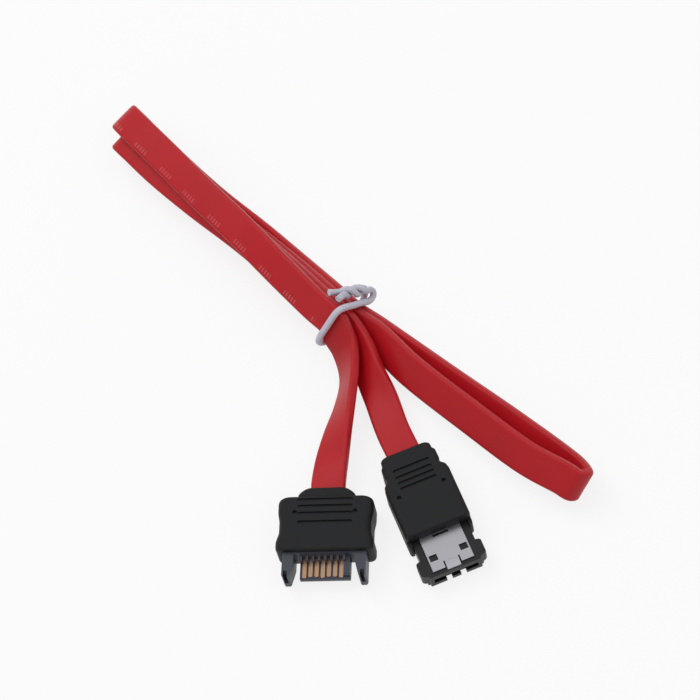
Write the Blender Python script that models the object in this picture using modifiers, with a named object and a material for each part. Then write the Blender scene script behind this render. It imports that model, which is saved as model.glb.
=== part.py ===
"""Flat data cable folded into an open hank and held by a twist tie, with a seven contact
plug with guide arms at one end and a metal topped plug with front ears at the other.
Metres, +Z up, lying on the plane z = 0. The mating ends point towards -Y."""

import math

import bmesh
import bpy
import numpy as np
from mathutils import Matrix, Vector

MM = 0.001

# Cable
CABLE_WIDTH = 7.2 * MM
CABLE_THICKNESS = 2.0 * MM
CABLE_EDGE_ROUND = 0.5 * MM
CABLE_IN_PLUG = 4.0 * MM
STATIONS_PER_SPAN = 5

# Twist tie
TIE_RADIUS = 0.64 * MM
TIE_COIL_RADIUS = 0.76 * MM
TIE_COIL_TURNS = 1.0
TIE_COIL_START = math.radians(108.5)

# Shared by both plugs
BODY_HEIGHT = 7.6 * MM
SIDE_ROUND = 0.7 * MM
CABLE_LEVEL = 3.8 * MM
SLOT_CLEARANCE = 0.05 * MM
FIT = 0.05 * MM
CONTACT_COUNT = 7
CONTACT_PITCH = 1.27 * MM
CONTACT_WIDTH = 0.9 * MM
CONTACT_THICKNESS = 0.25 * MM
WIRE_RADIUS = 0.2 * MM
WIRE_PITCH = 0.92 * MM
MOULD_LENGTH = 2.8 * MM
WIRE_FAN = 1.4 * MM
POCKET_SIDE = 0.5 * MM
GROOVE_WIDTH = 0.55 * MM
GROOVE_DEPTH = 0.35 * MM
DIMPLE_RADIUS = 0.45 * MM

# Signal plug with guide arms
INT_PLACE = Vector((-11.349, 5.272, 0)) * MM
INT_TURN = math.radians(0.0)
INT_NECK_LENGTH = 2.4 * MM
INT_NECK_REAR = 9.9 * MM
INT_NECK_FRONT = 12.0 * MM
INT_NECK_HEIGHT = 6.0 * MM
INT_BODY_LENGTH = 12.1 * MM
INT_BODY_REAR = 19.8 * MM
INT_BODY_WAIST = 19.1 * MM
INT_BODY_FLARE = 20.3 * MM
INT_GROOVES = (0.9 * MM, 2.4 * MM, 3.95 * MM, 5.95 * MM)
INT_GROOVE_LENGTH = 11.4 * MM
INT_DIMPLE_SPREAD = 12.5 * MM
INT_DIMPLE_BACK = 3.65 * MM
INT_BASE_WIDTH = 17.3 * MM
INT_BASE_HEIGHT = 5.0 * MM
INT_BASE_LEVEL = 3.7 * MM
INT_BASE_DEPTH = 5.2 * MM
INT_BASE_PROUD = 0.3 * MM
INT_ARM_WIDTH = 2.3 * MM
INT_ARM_TIP = 1.4 * MM
INT_ARM_LENGTH = 5.1 * MM
INT_ARM_POCKET = 0.8 * MM
INT_TONGUE_WIDTH = 10.4 * MM
INT_TONGUE_THICKNESS = 1.5 * MM
INT_TONGUE_LENGTH = 4.6 * MM
INT_TONGUE_TOP = 3.6 * MM
INT_KEY_WIDTH = 1.3 * MM
INT_KEY_RISE = 1.2 * MM
INT_KEY_SHORT = 0.5 * MM
INT_COMB_LENGTH = 1.2 * MM
INT_COMB_GAP = 0.8 * MM
INT_COMB_RISE = 1.9 * MM
INT_COMB_SIDE = 0.5 * MM
INT_CONTACT_SHORT = 0.35 * MM
INT_CONTACT_SHIFT = -0.45 * MM

# Plug with the metal top and ears
EXT_PLACE = Vector((4.529, 13.096, 0)) * MM
EXT_TURN = math.radians(22.8)
EXT_BODY_LENGTH = 19.2 * MM
EXT_BODY_WIDTH = 14.2 * MM
EXT_TAIL_WIDTH = 11.0 * MM
EXT_TAIL_LENGTH = 1.6 * MM
EXT_GRIP_WIDTH = 12.1 * MM
EXT_GRIP_LENGTH = 5.2 * MM
EXT_SHOULDER = 2.2 * MM
EXT_CHEEK_LENGTH = 1.1 * MM
EXT_CHEEK_HEIGHT = 4.9 * MM
EXT_GROOVES = (4.2 * MM, 5.8 * MM, 7.15 * MM, 8.5 * MM)
EXT_GROOVE_LENGTH = 8.0 * MM
EXT_DIMPLE_SPREAD = 9.9 * MM
EXT_DIMPLE_BACK = 10.15 * MM
EXT_FRAME_WIDTH = 12.1 * MM
EXT_FRAME_BOTTOM = 0.4 * MM
EXT_FRAME_TOP = 4.4 * MM
EXT_NOSE_LENGTH = 8.9 * MM
EXT_FRAME_DEPTH = 4.6 * MM
EXT_EAR_WIDTH = 14.2 * MM
EXT_EAR_LENGTH = 3.9 * MM
EXT_EAR_DROP = 0.8 * MM
EXT_SLOT_WIDTH = 9.6 * MM
EXT_SLOT_HEIGHT = 1.5 * MM
EXT_SLOT_FLOOR = 1.5 * MM
EXT_SLOT_DEPTH = 7.4 * MM
EXT_NOTCH_WIDTH = 1.2 * MM
EXT_NOTCH_SPREAD = 3.1 * MM
EXT_SHELL_WIDTH = 9.2 * MM
EXT_SHELL_THICKNESS = 0.3 * MM
EXT_SHELL_FLANGE = 0.9 * MM
EXT_SHELL_SHORT = 0.9 * MM
EXT_SHELL_TAIL = 3.4 * MM
EXT_HOLE_WIDTH = 1.7 * MM
EXT_HOLE_LENGTH = 1.4 * MM
EXT_HOLE_SPREAD = 6.6 * MM
EXT_HOLE_BACK = 2.9 * MM
EXT_TAB_WIDTH = 3.25 * MM
EXT_TAB_REACH = 0.4 * MM
EXT_TAB_DROP = 0.6 * MM
EXT_SLIT_WIDTH = 0.3 * MM
EXT_SLIT_LENGTH = 1.5 * MM
EXT_DASH_LENGTH = 3.4 * MM
EXT_DASH_WIDTH = 0.6 * MM
EXT_DASH_AHEAD = 0.15 * MM
EXT_CONTACT_SHORT = 1.0 * MM

# Chosen points of the cable from the signal plug to the other, in millimetres:
# the middle of the cable, then the direction across its width
ROUTE = (
    (-11.36, 7.44, 3.80, 0.999, -0.020, 0.050),
    (-10.81, 12.89, 3.90, 0.955, -0.060, 0.290),
    (-9.77, 19.31, 4.20, 0.797, -0.076, 0.599),
    (-8.46, 26.01, 4.40, 0.578, -0.017, 0.816),
    (-7.79, 32.32, 4.74, 0.488, 0.055, 0.871),
    (-8.58, 37.37, 6.49, 0.580, 0.216, 0.786),
    (-9.94, 40.24, 8.78, 0.584, 0.408, 0.702),
    (-11.12, 42.57, 10.00, 0.525, 0.489, 0.696),
    (-15.22, 46.89, 9.90, 0.536, 0.497, 0.682),
    (-22.69, 55.24, 10.00, 0.593, 0.553, 0.585),
    (-32.00, 65.90, 10.10, 0.646, 0.625, 0.440),
    (-41.45, 76.09, 10.10, 0.695, 0.582, 0.422),
    (-50.40, 86.12, 10.20, 0.711, 0.599, 0.369),
    (-57.26, 93.66, 10.20, 0.715, 0.604, 0.352),
    (-60.09, 97.28, 9.20, 0.741, 0.572, 0.351),
    (-60.51, 98.93, 6.40, 0.741, 0.572, 0.351),
    (-59.19, 98.58, 3.70, 0.741, 0.572, 0.351),
    (-56.04, 95.48, 2.50, 0.715, 0.604, 0.352),
    (-49.20, 87.94, 2.50, 0.710, 0.600, 0.369),
    (-39.82, 78.22, 2.70, 0.694, 0.583, 0.423),
    (-29.72, 68.71, 3.30, 0.646, 0.621, 0.444),
    (-19.72, 58.76, 4.10, 0.593, 0.551, 0.587),
    (-11.77, 50.80, 4.80, 0.536, 0.494, 0.685),
    (-7.66, 46.58, 5.00, 0.524, 0.486, 0.699),
    (-2.63, 43.10, 4.10, 0.512, 0.526, 0.679),
    (3.42, 38.32, 3.80, 0.509, 0.540, 0.670),
    (13.79, 29.95, 3.60, 0.501, 0.569, 0.653),
    (26.57, 19.67, 3.60, 0.499, 0.564, 0.658),
    (37.37, 10.50, 3.60, 0.517, 0.546, 0.659),
    (39.78, 7.88, 4.00, 0.517, 0.545, 0.661),
    (41.02, 5.02, 5.20, 0.517, 0.545, 0.661),
    (39.61, 4.29, 6.30, 0.517, 0.545, 0.660),
    (37.14, 5.84, 6.70, 0.528, 0.562, 0.636),
    (30.01, 10.57, 6.30, 0.517, 0.570, 0.639),
    (18.30, 20.67, 6.00, 0.506, 0.577, 0.642),
    (5.57, 32.11, 5.92, 0.505, 0.557, 0.659),
    (-2.38, 40.85, 5.44, 0.503, 0.534, 0.680),
    (-8.75, 45.26, 6.60, 0.525, 0.488, 0.698),
    (-12.92, 49.50, 6.50, 0.536, 0.495, 0.684),
    (-20.86, 57.46, 5.90, 0.593, 0.551, 0.587),
    (-31.09, 67.22, 4.90, 0.646, 0.622, 0.442),
    (-41.82, 76.36, 4.20, 0.694, 0.583, 0.422),
    (-51.73, 85.51, 3.80, 0.710, 0.600, 0.368),
    (-58.70, 92.96, 3.70, 0.715, 0.604, 0.352),
    (-60.34, 94.46, 4.20, 0.741, 0.573, 0.351),
    (-60.73, 94.61, 5.20, 0.741, 0.573, 0.351),
    (-60.60, 94.02, 6.10, 0.741, 0.573, 0.351),
    (-59.12, 92.26, 6.70, 0.715, 0.604, 0.352),
    (-52.17, 84.81, 6.60, 0.711, 0.600, 0.368),
    (-42.47, 75.57, 6.90, 0.694, 0.583, 0.422),
    (-31.97, 66.23, 7.30, 0.646, 0.624, 0.440),
    (-21.88, 56.25, 7.90, 0.593, 0.553, 0.586),
    (-14.07, 48.20, 8.20, 0.536, 0.495, 0.684),
    (-9.97, 43.87, 8.30, 0.525, 0.488, 0.698),
    (-7.63, 41.38, 7.00, 0.570, 0.394, 0.721),
    (-5.05, 37.29, 5.60, 0.622, 0.277, 0.732),
    (-3.37, 32.47, 4.90, 0.730, 0.269, 0.629),
    (-0.86, 26.53, 4.10, 0.891, 0.338, 0.304),
    (1.76, 19.12, 3.80, 0.921, 0.387, 0.050),
    (3.63, 14.99, 3.80, 0.922, 0.388, 0.000),
)

# Middle of the four strands at the tie, and the directions across the strands' width
# and through the stack there
TIE_CENTRE = Vector((-9.373, 44.572, 7.48)) * MM
TIE_ACROSS = Vector((0.506, 0.467, 0.725))
TIE_THROUGH = Vector((-0.474, -0.552, 0.686))
# Points of the tie's ring: along the hank, through the stack and across it, in millimetres
TIE_RING = (
    (1.09, -5.78, 5.93), (0.98, -6.2, 4.58), (0.54, -5.99, 3.18), (0.2, -5.75, 0.0), (0.0, -5.7, -3.0),
    (-0.2, -5.2, -4.3), (-0.4, -3.9, -4.75), (-0.5, 0.0, -5.2), (-0.4, 3.3, -5.5), (-0.35, 5.3, -5.0),
    (-0.4, 6.05, -3.4), (-0.6, 5.85, 0.0), (-0.8, 5.6, 3.0), (-1.0, 5.0, 4.15), (-1.2, 3.8, 4.65), (-1.3, 1.0, 4.75),
    (-1.2, -3.0, 4.75), (-1.32, -4.72, 4.8), (-1.06, -6.07, 5.53), (-0.52, -6.13, 6.45), (-0.07, -5.37, 6.9),
)
TIE_COIL_RIGHT = (0.71, -4.0, 6.49)
TIE_COIL_LEFT = (2.04, 1.53, 5.57)
TIE_TAIL_THIN = (3.81, 3.79, 4.92)
TIE_TAIL_THICK = (1.03, 3.99, 5.16)


def clear_scene():
    for item in list(bpy.data.objects):
        bpy.data.objects.remove(item, do_unlink=True)
    for item in list(bpy.data.meshes) + list(bpy.data.curves):
        if item.users == 0 and isinstance(item, bpy.types.Mesh):
            bpy.data.meshes.remove(item)


def collection(name):
    made = bpy.data.collections.new(name)
    bpy.context.scene.collection.children.link(made)
    return made


def material(name, color, roughness, metallic=0.0):
    made = bpy.data.materials.new(name)
    made.use_nodes = True
    shader = made.node_tree.nodes["Principled BSDF"]
    shader.inputs["Base Color"].default_value = (*color, 1.0)
    shader.inputs["Roughness"].default_value = roughness
    shader.inputs["Metallic"].default_value = metallic
    made.diffuse_color = (*color, 1.0)
    return made


def mesh_object(name, mesh, parent, group, mat=None):
    item = bpy.data.objects.new(name, mesh)
    group.objects.link(item)
    item.parent = parent
    if mat:
        mesh.materials.append(mat)
    return item


def box(name, x, y, z, parent, group, mat=None):
    """A box from three (low, high) pairs."""
    mesh = bpy.data.meshes.new(name)
    form = bmesh.new()
    size = (x[1] - x[0], y[1] - y[0], z[1] - z[0])
    middle = ((x[0] + x[1]) / 2, (y[0] + y[1]) / 2, (z[0] + z[1]) / 2)
    bmesh.ops.create_cube(form, size=1.0, matrix=Matrix.Translation(middle) @ Matrix.Diagonal((*size, 1.0)))
    form.to_mesh(mesh)
    form.free()
    return mesh_object(name, mesh, parent, group, mat)


def rod(name, radius, base, depth, parent, group, mat=None, axis="Z", sides=16):
    mesh = bpy.data.meshes.new(name)
    form = bmesh.new()
    turn = Matrix.Rotation(math.pi / 2, 4, "X") if axis == "Y" else Matrix.Identity(4)
    bmesh.ops.create_cone(
        form, cap_ends=True, segments=sides, radius1=radius, radius2=radius, depth=depth,
        matrix=Matrix.Translation(base) @ turn,
    )
    form.to_mesh(mesh)
    form.free()
    return mesh_object(name, mesh, parent, group, mat)


def curve_to_mesh(item):
    """Turns a curve object into a closed mesh object with the same name, place and parent."""
    bpy.context.view_layer.update()
    graph = bpy.context.evaluated_depsgraph_get()
    mesh = bpy.data.meshes.new_from_object(item.evaluated_get(graph))
    form = bmesh.new()
    form.from_mesh(mesh)
    bmesh.ops.remove_doubles(form, verts=form.verts, dist=1e-7)
    bmesh.ops.recalc_face_normals(form, faces=form.faces)
    form.to_mesh(mesh)
    form.free()
    name, parent, groups = item.name, item.parent, list(item.users_collection)
    data = item.data
    bpy.data.objects.remove(item)
    bpy.data.curves.remove(data)
    made = bpy.data.objects.new(name, mesh)
    groups[0].objects.link(made)
    made.parent = parent
    return made


def outline(name, points, z, parent, group, mat=None):
    """A flat outline of (x, y) points, extruded between two heights."""
    data = bpy.data.curves.new(name, "CURVE")
    data.dimensions = "2D"
    data.fill_mode = "BOTH"
    data.extrude = (z[1] - z[0]) / 2
    line = data.splines.new("POLY")
    line.points.add(len(points) - 1)
    for point, (x, y) in zip(line.points, points):
        point.co = (x, y, 0.0, 1.0)
    line.use_cyclic_u = True
    item = bpy.data.objects.new(name, data)
    group.objects.link(item)
    item.parent = parent
    made = curve_to_mesh(item)
    made.data.transform(Matrix.Translation((0.0, 0.0, (z[0] + z[1]) / 2)))
    if mat:
        made.data.materials.append(mat)
    return made


def side_prism(name, points, x, parent, group):
    """A profile of (y, z) points, extruded between two x values."""
    mesh = bpy.data.meshes.new(name)
    form = bmesh.new()
    first, second = ([form.verts.new((side, y, z)) for y, z in points] for side in x)
    form.faces.new(first)
    form.faces.new(second[::-1])
    for i in range(len(points)):
        j = (i + 1) % len(points)
        form.faces.new((first[i], first[j], second[j], second[i]))
    bmesh.ops.recalc_face_normals(form, faces=form.faces)
    form.to_mesh(mesh)
    form.free()
    return mesh_object(name, mesh, parent, group)


def tube(name, points, radius, group, mat, parent=None):
    data = bpy.data.curves.new(name, "CURVE")
    data.dimensions = "3D"
    data.bevel_depth = radius
    data.bevel_resolution = 2
    data.use_fill_caps = True
    line = data.splines.new("POLY")
    line.points.add(len(points) - 1)
    for point, place in zip(line.points, points):
        point.co = (*place, 1.0)
    data.materials.append(mat)
    item = bpy.data.objects.new(name, data)
    group.objects.link(item)
    item.parent = parent
    return item


def combine(item, other, operation):
    step = item.modifiers.new(other.name, "BOOLEAN")
    step.operation = operation
    step.object = other
    step.solver = "EXACT"
    other.hide_render = True
    other.display_type = "WIRE"


def round_edges(item, width, segments=2, angle=50):
    step = item.modifiers.new("Round", "BEVEL")
    step.width = width
    step.segments = segments
    step.limit_method = "ANGLE"
    step.angle_limit = math.radians(angle)


def smooth_line(points, per_span):
    """A smooth curve through rows of numbers whose first three are a place."""
    rows = np.array(points, float)
    rows = np.vstack([2 * rows[0] - rows[1], rows, 2 * rows[-1] - rows[-2]])
    knots = np.sqrt(np.linalg.norm(np.diff(rows[:, :3], axis=0), axis=1))
    found = []
    for i in range(1, len(rows) - 2):
        t0, t1 = 0.0, knots[i - 1]
        t2 = t1 + knots[i]
        t3 = t2 + knots[i + 1]
        for k in range(per_span):
            t = t1 + (t2 - t1) * k / per_span
            a = ((t1 - t) * rows[i - 1] + (t - t0) * rows[i]) / (t1 - t0)
            b = ((t2 - t) * rows[i] + (t - t1) * rows[i + 1]) / (t2 - t1)
            c = ((t3 - t) * rows[i + 1] + (t - t2) * rows[i + 2]) / (t3 - t2)
            d = ((t2 - t) * a + (t - t0) * b) / (t2 - t0)
            e = ((t3 - t) * b + (t - t1) * c) / (t3 - t1)
            found.append(((t2 - t) * d + (t - t1) * e) / (t2 - t1))
    found.append(rows[-2])
    return np.array(found)


def plug_point(place, turn, x, y, z):
    return place + Matrix.Rotation(turn, 3, "Z") @ Vector((x, y, z))


def cable_rows():
    """The route with its two ends, which run straight into the plugs."""
    rows = []
    for place, turn, ends in ((INT_PLACE, INT_TURN, (-CABLE_IN_PLUG, 0.0)), (EXT_PLACE, EXT_TURN, (0.0, -CABLE_IN_PLUG))):
        across = Matrix.Rotation(turn, 3, "Z") @ Vector((1.0, 0.0, 0.0))
        rows.append([(*(plug_point(place, turn, 0.0, y, CABLE_LEVEL) / MM), *across) for y in ends])
    return rows[0] + list(ROUTE) + rows[1]


def make_cable(group):
    rows = smooth_line(cable_rows(), STATIONS_PER_SPAN)
    places = rows[:, :3] * MM
    along = np.gradient(places, axis=0)
    along /= np.linalg.norm(along, axis=1)[:, None]
    across = rows[:, 3:6]
    across = across - (across * along).sum(axis=1)[:, None] * along
    across /= np.linalg.norm(across, axis=1)[:, None]
    mesh = bpy.data.meshes.new("flat_cable")
    form = bmesh.new()
    bmesh.ops.create_grid(form, x_segments=len(rows) - 1, y_segments=1, size=1.0)
    for vert in form.verts:
        station = round((vert.co.x + 1.0) / 2.0 * (len(rows) - 1))
        side = CABLE_WIDTH / 2 if vert.co.y > 0 else -CABLE_WIDTH / 2
        vert.co = Vector(places[station] + side * across[station])
    form.to_mesh(mesh)
    form.free()
    item = mesh_object("flat_cable", mesh, None, group, material("cable_red", (0.38, 0.018, 0.026), 0.42))
    shell = item.modifiers.new("Thickness", "SOLIDIFY")
    shell.thickness = CABLE_THICKNESS
    shell.offset = 0.0
    shell.use_even_offset = False
    round_edges(item, CABLE_EDGE_ROUND, 2, 60)
    return item


def make_tie(group):
    across, through = TIE_ACROSS.normalized(), TIE_THROUGH.normalized()
    along = through.cross(across)

    def place(point):
        return TIE_CENTRE + (along * point[0] + through * point[1] + across * point[2]) * MM

    right, left = place(TIE_COIL_RIGHT), place(TIE_COIL_LEFT)
    axis = (left - right).normalized()
    up = (across - axis * across.dot(axis)).normalized()
    out = axis.cross(up)

    def coil(start):
        steps = int(TIE_COIL_TURNS * 12)
        points = []
        for k in range(steps + 1):
            angle = start + 2 * math.pi * TIE_COIL_TURNS * k / steps
            ring = up * math.cos(angle) + out * math.sin(angle)
            points.append(right.lerp(left, k / steps) + ring * TIE_COIL_RADIUS)
        return points

    first, second = coil(TIE_COIL_START), coil(TIE_COIL_START - math.pi)
    chosen = [place(TIE_TAIL_THIN)] + first[::-2] + [place(p) for p in TIE_RING] + second[::2] + [place(TIE_TAIL_THICK)]
    smooth = smooth_line([tuple(p / MM) for p in chosen], 3) * MM
    return tube("twist_tie", smooth, TIE_RADIUS, group, material("tie_white", (0.55, 0.54, 0.6), 0.5))


def contact_x(index, shift=0.0):
    return (index - (CONTACT_COUNT - 1) / 2) * CONTACT_PITCH + shift


def make_wires(prefix, parent, group, level, shift, mould_y, copper, drain):
    """Conductors from the cable's end through the inner mould to the contact tails.
    The first, fourth and last contact are the ground contacts."""
    counts = {"signal": 0, "ground": 0}
    for index in range(CONTACT_COUNT):
        kind = "ground" if index in (0, CONTACT_COUNT // 2, CONTACT_COUNT - 1) else "signal"
        counts[kind] += 1
        start_x = (index - (CONTACT_COUNT - 1) / 2) * WIRE_PITCH
        end_x = contact_x(index, shift)
        start_y = -CABLE_IN_PLUG - SLOT_CLEARANCE
        end_y = mould_y[0] + SLOT_CLEARANCE
        points = [
            (start_x, start_y, CABLE_LEVEL),
            (start_x, start_y - WIRE_FAN * 0.25, CABLE_LEVEL),
            (end_x, mould_y[1] + WIRE_FAN * 0.15, level),
            (end_x, end_y, level),
        ]
        tube(f"{prefix}_{kind}_wire_{counts[kind]}", points, WIRE_RADIUS, group, drain if kind == "ground" else copper, parent)


def make_mould(prefix, parent, group, cutters, y, half_width, z, level, shift, mat):
    """The block moulded round the joints, with a way through for each wire."""
    item = box(f"{prefix}_inner_mould", (shift - half_width, shift + half_width), y, z, parent, group, mat)
    for index in range(CONTACT_COUNT):
        hole = rod(
            f"{prefix}_wire_way_{index + 1}", WIRE_RADIUS + FIT, (contact_x(index, shift), (y[0] + y[1]) / 2, level),
            (y[1] - y[0]) * 2, parent, cutters, axis="Y", sides=12,
        )
        combine(item, hole, "DIFFERENCE")
    return item


def make_signal_plug(group, cutters, mats):
    frame = bpy.data.objects.new("internal_plug_place", None)
    group.objects.link(frame)
    frame.location = INT_PLACE
    frame.rotation_euler = (0.0, 0.0, INT_TURN)
    name = "internal_plug"

    rear = -INT_NECK_LENGTH
    front = rear - INT_BODY_LENGTH
    half_rear, half_waist, half_flare = INT_BODY_REAR / 2, INT_BODY_WAIST / 2, INT_BODY_FLARE / 2
    length = INT_BODY_LENGTH
    right = [
        (half_rear - 1.3 * MM, rear), (half_rear - 0.35 * MM, rear - 0.4 * MM), (half_rear, rear - 1.4 * MM),
        (half_rear, rear - length * 0.25), (half_waist, rear - length * 0.47), (half_waist, rear - length * 0.62),
        (half_flare, rear - length * 0.84), (half_flare, front + 1.3 * MM), (half_flare - 0.4 * MM, front + 0.4 * MM),
        (half_flare - 1.2 * MM, front),
    ]
    points = right + [(-x, y) for x, y in reversed(right)]
    body = outline(f"{name}_overmould", points, (0.0, BODY_HEIGHT), frame, group, mats["black"])
    neck_z = (CABLE_LEVEL - INT_NECK_HEIGHT / 2, CABLE_LEVEL + INT_NECK_HEIGHT / 2)
    half_front, half_end = INT_NECK_FRONT / 2, INT_NECK_REAR / 2
    right = [(half_front, rear - 0.5 * MM), (half_front, rear + 0.7 * MM), (half_end, -0.5 * MM), (half_end - 0.9 * MM, 0.0)]
    points = right + [(-x, y) for x, y in reversed(right)]
    neck = outline(f"{name}_neck", points, neck_z, frame, cutters)
    round_edges(neck, SIDE_ROUND, 2, 40)
    round_edges(body, SIDE_ROUND, 3, 60)
    combine(body, neck, "UNION")
    base_z = (INT_BASE_LEVEL - INT_BASE_HEIGHT / 2, INT_BASE_LEVEL + INT_BASE_HEIGHT / 2)
    base_rear = front + INT_BASE_DEPTH
    mould_y = (base_rear + FIT, base_rear + FIT + MOULD_LENGTH)
    mould_half = CONTACT_PITCH * CONTACT_COUNT / 2 + 0.3 * MM
    for index, (x, y, z) in enumerate((
        ((-CABLE_WIDTH / 2 - SLOT_CLEARANCE, CABLE_WIDTH / 2 + SLOT_CLEARANCE), (-CABLE_IN_PLUG - MM, MM),
         (CABLE_LEVEL - CABLE_THICKNESS / 2 - SLOT_CLEARANCE, CABLE_LEVEL + CABLE_THICKNESS / 2 + SLOT_CLEARANCE)),
        ((-mould_half + INT_CONTACT_SHIFT - POCKET_SIDE, mould_half - INT_CONTACT_SHIFT + POCKET_SIDE),
         (base_rear - MM, -CABLE_IN_PLUG + SLOT_CLEARANCE), (base_z[0] - FIT, base_z[1] + FIT)),
        ((-INT_BASE_WIDTH / 2 - FIT, INT_BASE_WIDTH / 2 + FIT), (front - MM, base_rear + FIT),
         (base_z[0] - FIT, base_z[1] + FIT)),
    )):
        combine(body, box(f"{name}_hollow_{index + 1}", x, y, z, frame, cutters), "DIFFERENCE")
    for index, back in enumerate(INT_GROOVES):
        y = rear - back
        cutter = box(
            f"{name}_groove_{index + 1}", (-INT_GROOVE_LENGTH / 2, INT_GROOVE_LENGTH / 2),
            (y - GROOVE_WIDTH / 2, y + GROOVE_WIDTH / 2), (BODY_HEIGHT - GROOVE_DEPTH, BODY_HEIGHT + MM), frame, cutters,
        )
        combine(body, cutter, "DIFFERENCE")
    for index, side in enumerate((-1, 1)):
        place = (side * INT_DIMPLE_SPREAD / 2, rear - INT_DIMPLE_BACK, BODY_HEIGHT)
        combine(body, rod(f"{name}_dimple_{index + 1}", DIMPLE_RADIUS, place, GROOVE_DEPTH * 2, frame, cutters), "DIFFERENCE")

    face = front - INT_BASE_PROUD
    base = box(f"{name}_insulator", (-INT_BASE_WIDTH / 2, INT_BASE_WIDTH / 2), (face, base_rear), base_z, frame, group, mats["slate"])
    tongue_front = face - INT_TONGUE_LENGTH
    tongue = box(
        f"{name}_tongue", (-INT_TONGUE_WIDTH / 2, INT_TONGUE_WIDTH / 2), (tongue_front, face + MM),
        (INT_TONGUE_TOP - INT_TONGUE_THICKNESS, INT_TONGUE_TOP), frame, cutters,
    )
    key = box(
        f"{name}_key", (INT_TONGUE_WIDTH / 2 - INT_KEY_WIDTH, INT_TONGUE_WIDTH / 2), (tongue_front + INT_KEY_SHORT, face + MM),
        (INT_TONGUE_TOP - INT_TONGUE_THICKNESS / 2, INT_TONGUE_TOP + INT_KEY_RISE), frame, cutters,
    )
    comb_half = CONTACT_PITCH * (CONTACT_COUNT - 1) / 2 + CONTACT_WIDTH / 2 + INT_COMB_SIDE
    comb = box(
        f"{name}_comb", (INT_CONTACT_SHIFT - comb_half, INT_CONTACT_SHIFT + comb_half), (face - INT_COMB_LENGTH, face + MM),
        (INT_TONGUE_TOP - INT_TONGUE_THICKNESS / 2, INT_TONGUE_TOP + INT_COMB_RISE), frame, cutters,
    )
    for joined in (tongue, key, comb):
        combine(base, joined, "UNION")
    for side in (-1, 1):
        outer = side * INT_BASE_WIDTH / 2
        inner = outer - side * INT_ARM_WIDTH
        tip = outer - side * INT_ARM_TIP
        points = [(outer, face + MM), (outer, face - INT_ARM_LENGTH + 0.3 * MM), (outer - side * 0.3 * MM, face - INT_ARM_LENGTH),
                  (tip, face - INT_ARM_LENGTH), (inner, face - INT_ARM_LENGTH * 0.35), (inner, face + MM)]
        arm = outline(
            f"{name}_arm_{'left' if side < 0 else 'right'}", points if side > 0 else points[::-1], base_z, frame, cutters,
        )
        combine(base, arm, "UNION")
        x = sorted((outer - side * 0.35 * MM, outer - side * (0.35 * MM + INT_ARM_POCKET)))
        pocket = box(
            f"{name}_arm_pocket_{'left' if side < 0 else 'right'}", x,
            (face - INT_ARM_LENGTH - MM, face - INT_ARM_LENGTH + 1.4 * MM), (base_z[0] + 1.6 * MM, base_z[1] + MM), frame, cutters,
        )
        combine(base, pocket, "DIFFERENCE")
    level = INT_TONGUE_TOP + FIT + CONTACT_THICKNESS / 2
    for index in range(CONTACT_COUNT):
        x = contact_x(index, INT_CONTACT_SHIFT)
        way = box(
            f"{name}_contact_way_{index + 1}", (x - CONTACT_WIDTH / 2 - FIT, x + CONTACT_WIDTH / 2 + FIT),
            (face - INT_COMB_LENGTH - MM, base_rear + MM), (INT_TONGUE_TOP, INT_TONGUE_TOP + CONTACT_THICKNESS + 2 * FIT), frame, cutters,
        )
        combine(base, way, "DIFFERENCE")
        gap = box(
            f"{name}_comb_gap_{index + 1}", (x - INT_COMB_GAP / 2, x + INT_COMB_GAP / 2),
            (face - INT_COMB_LENGTH - MM, face - 0.1 * MM), (INT_TONGUE_TOP, INT_TONGUE_TOP + INT_COMB_RISE + MM),
            frame, cutters,
        )
        combine(base, gap, "DIFFERENCE")
        box(
            f"{name}_contact_{index + 1}", (x - CONTACT_WIDTH / 2, x + CONTACT_WIDTH / 2), (tongue_front + INT_CONTACT_SHORT, base_rear),
            (level - CONTACT_THICKNESS / 2, level + CONTACT_THICKNESS / 2), frame, group, mats["gold"],
        )
    make_mould(name, frame, group, cutters, mould_y, mould_half, (base_z[0] + 0.2 * MM, base_z[1] - 0.2 * MM), level, INT_CONTACT_SHIFT, mats["mould"])
    make_wires(name, frame, group, level, INT_CONTACT_SHIFT, mould_y, mats["copper"], mats["drain"])


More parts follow.
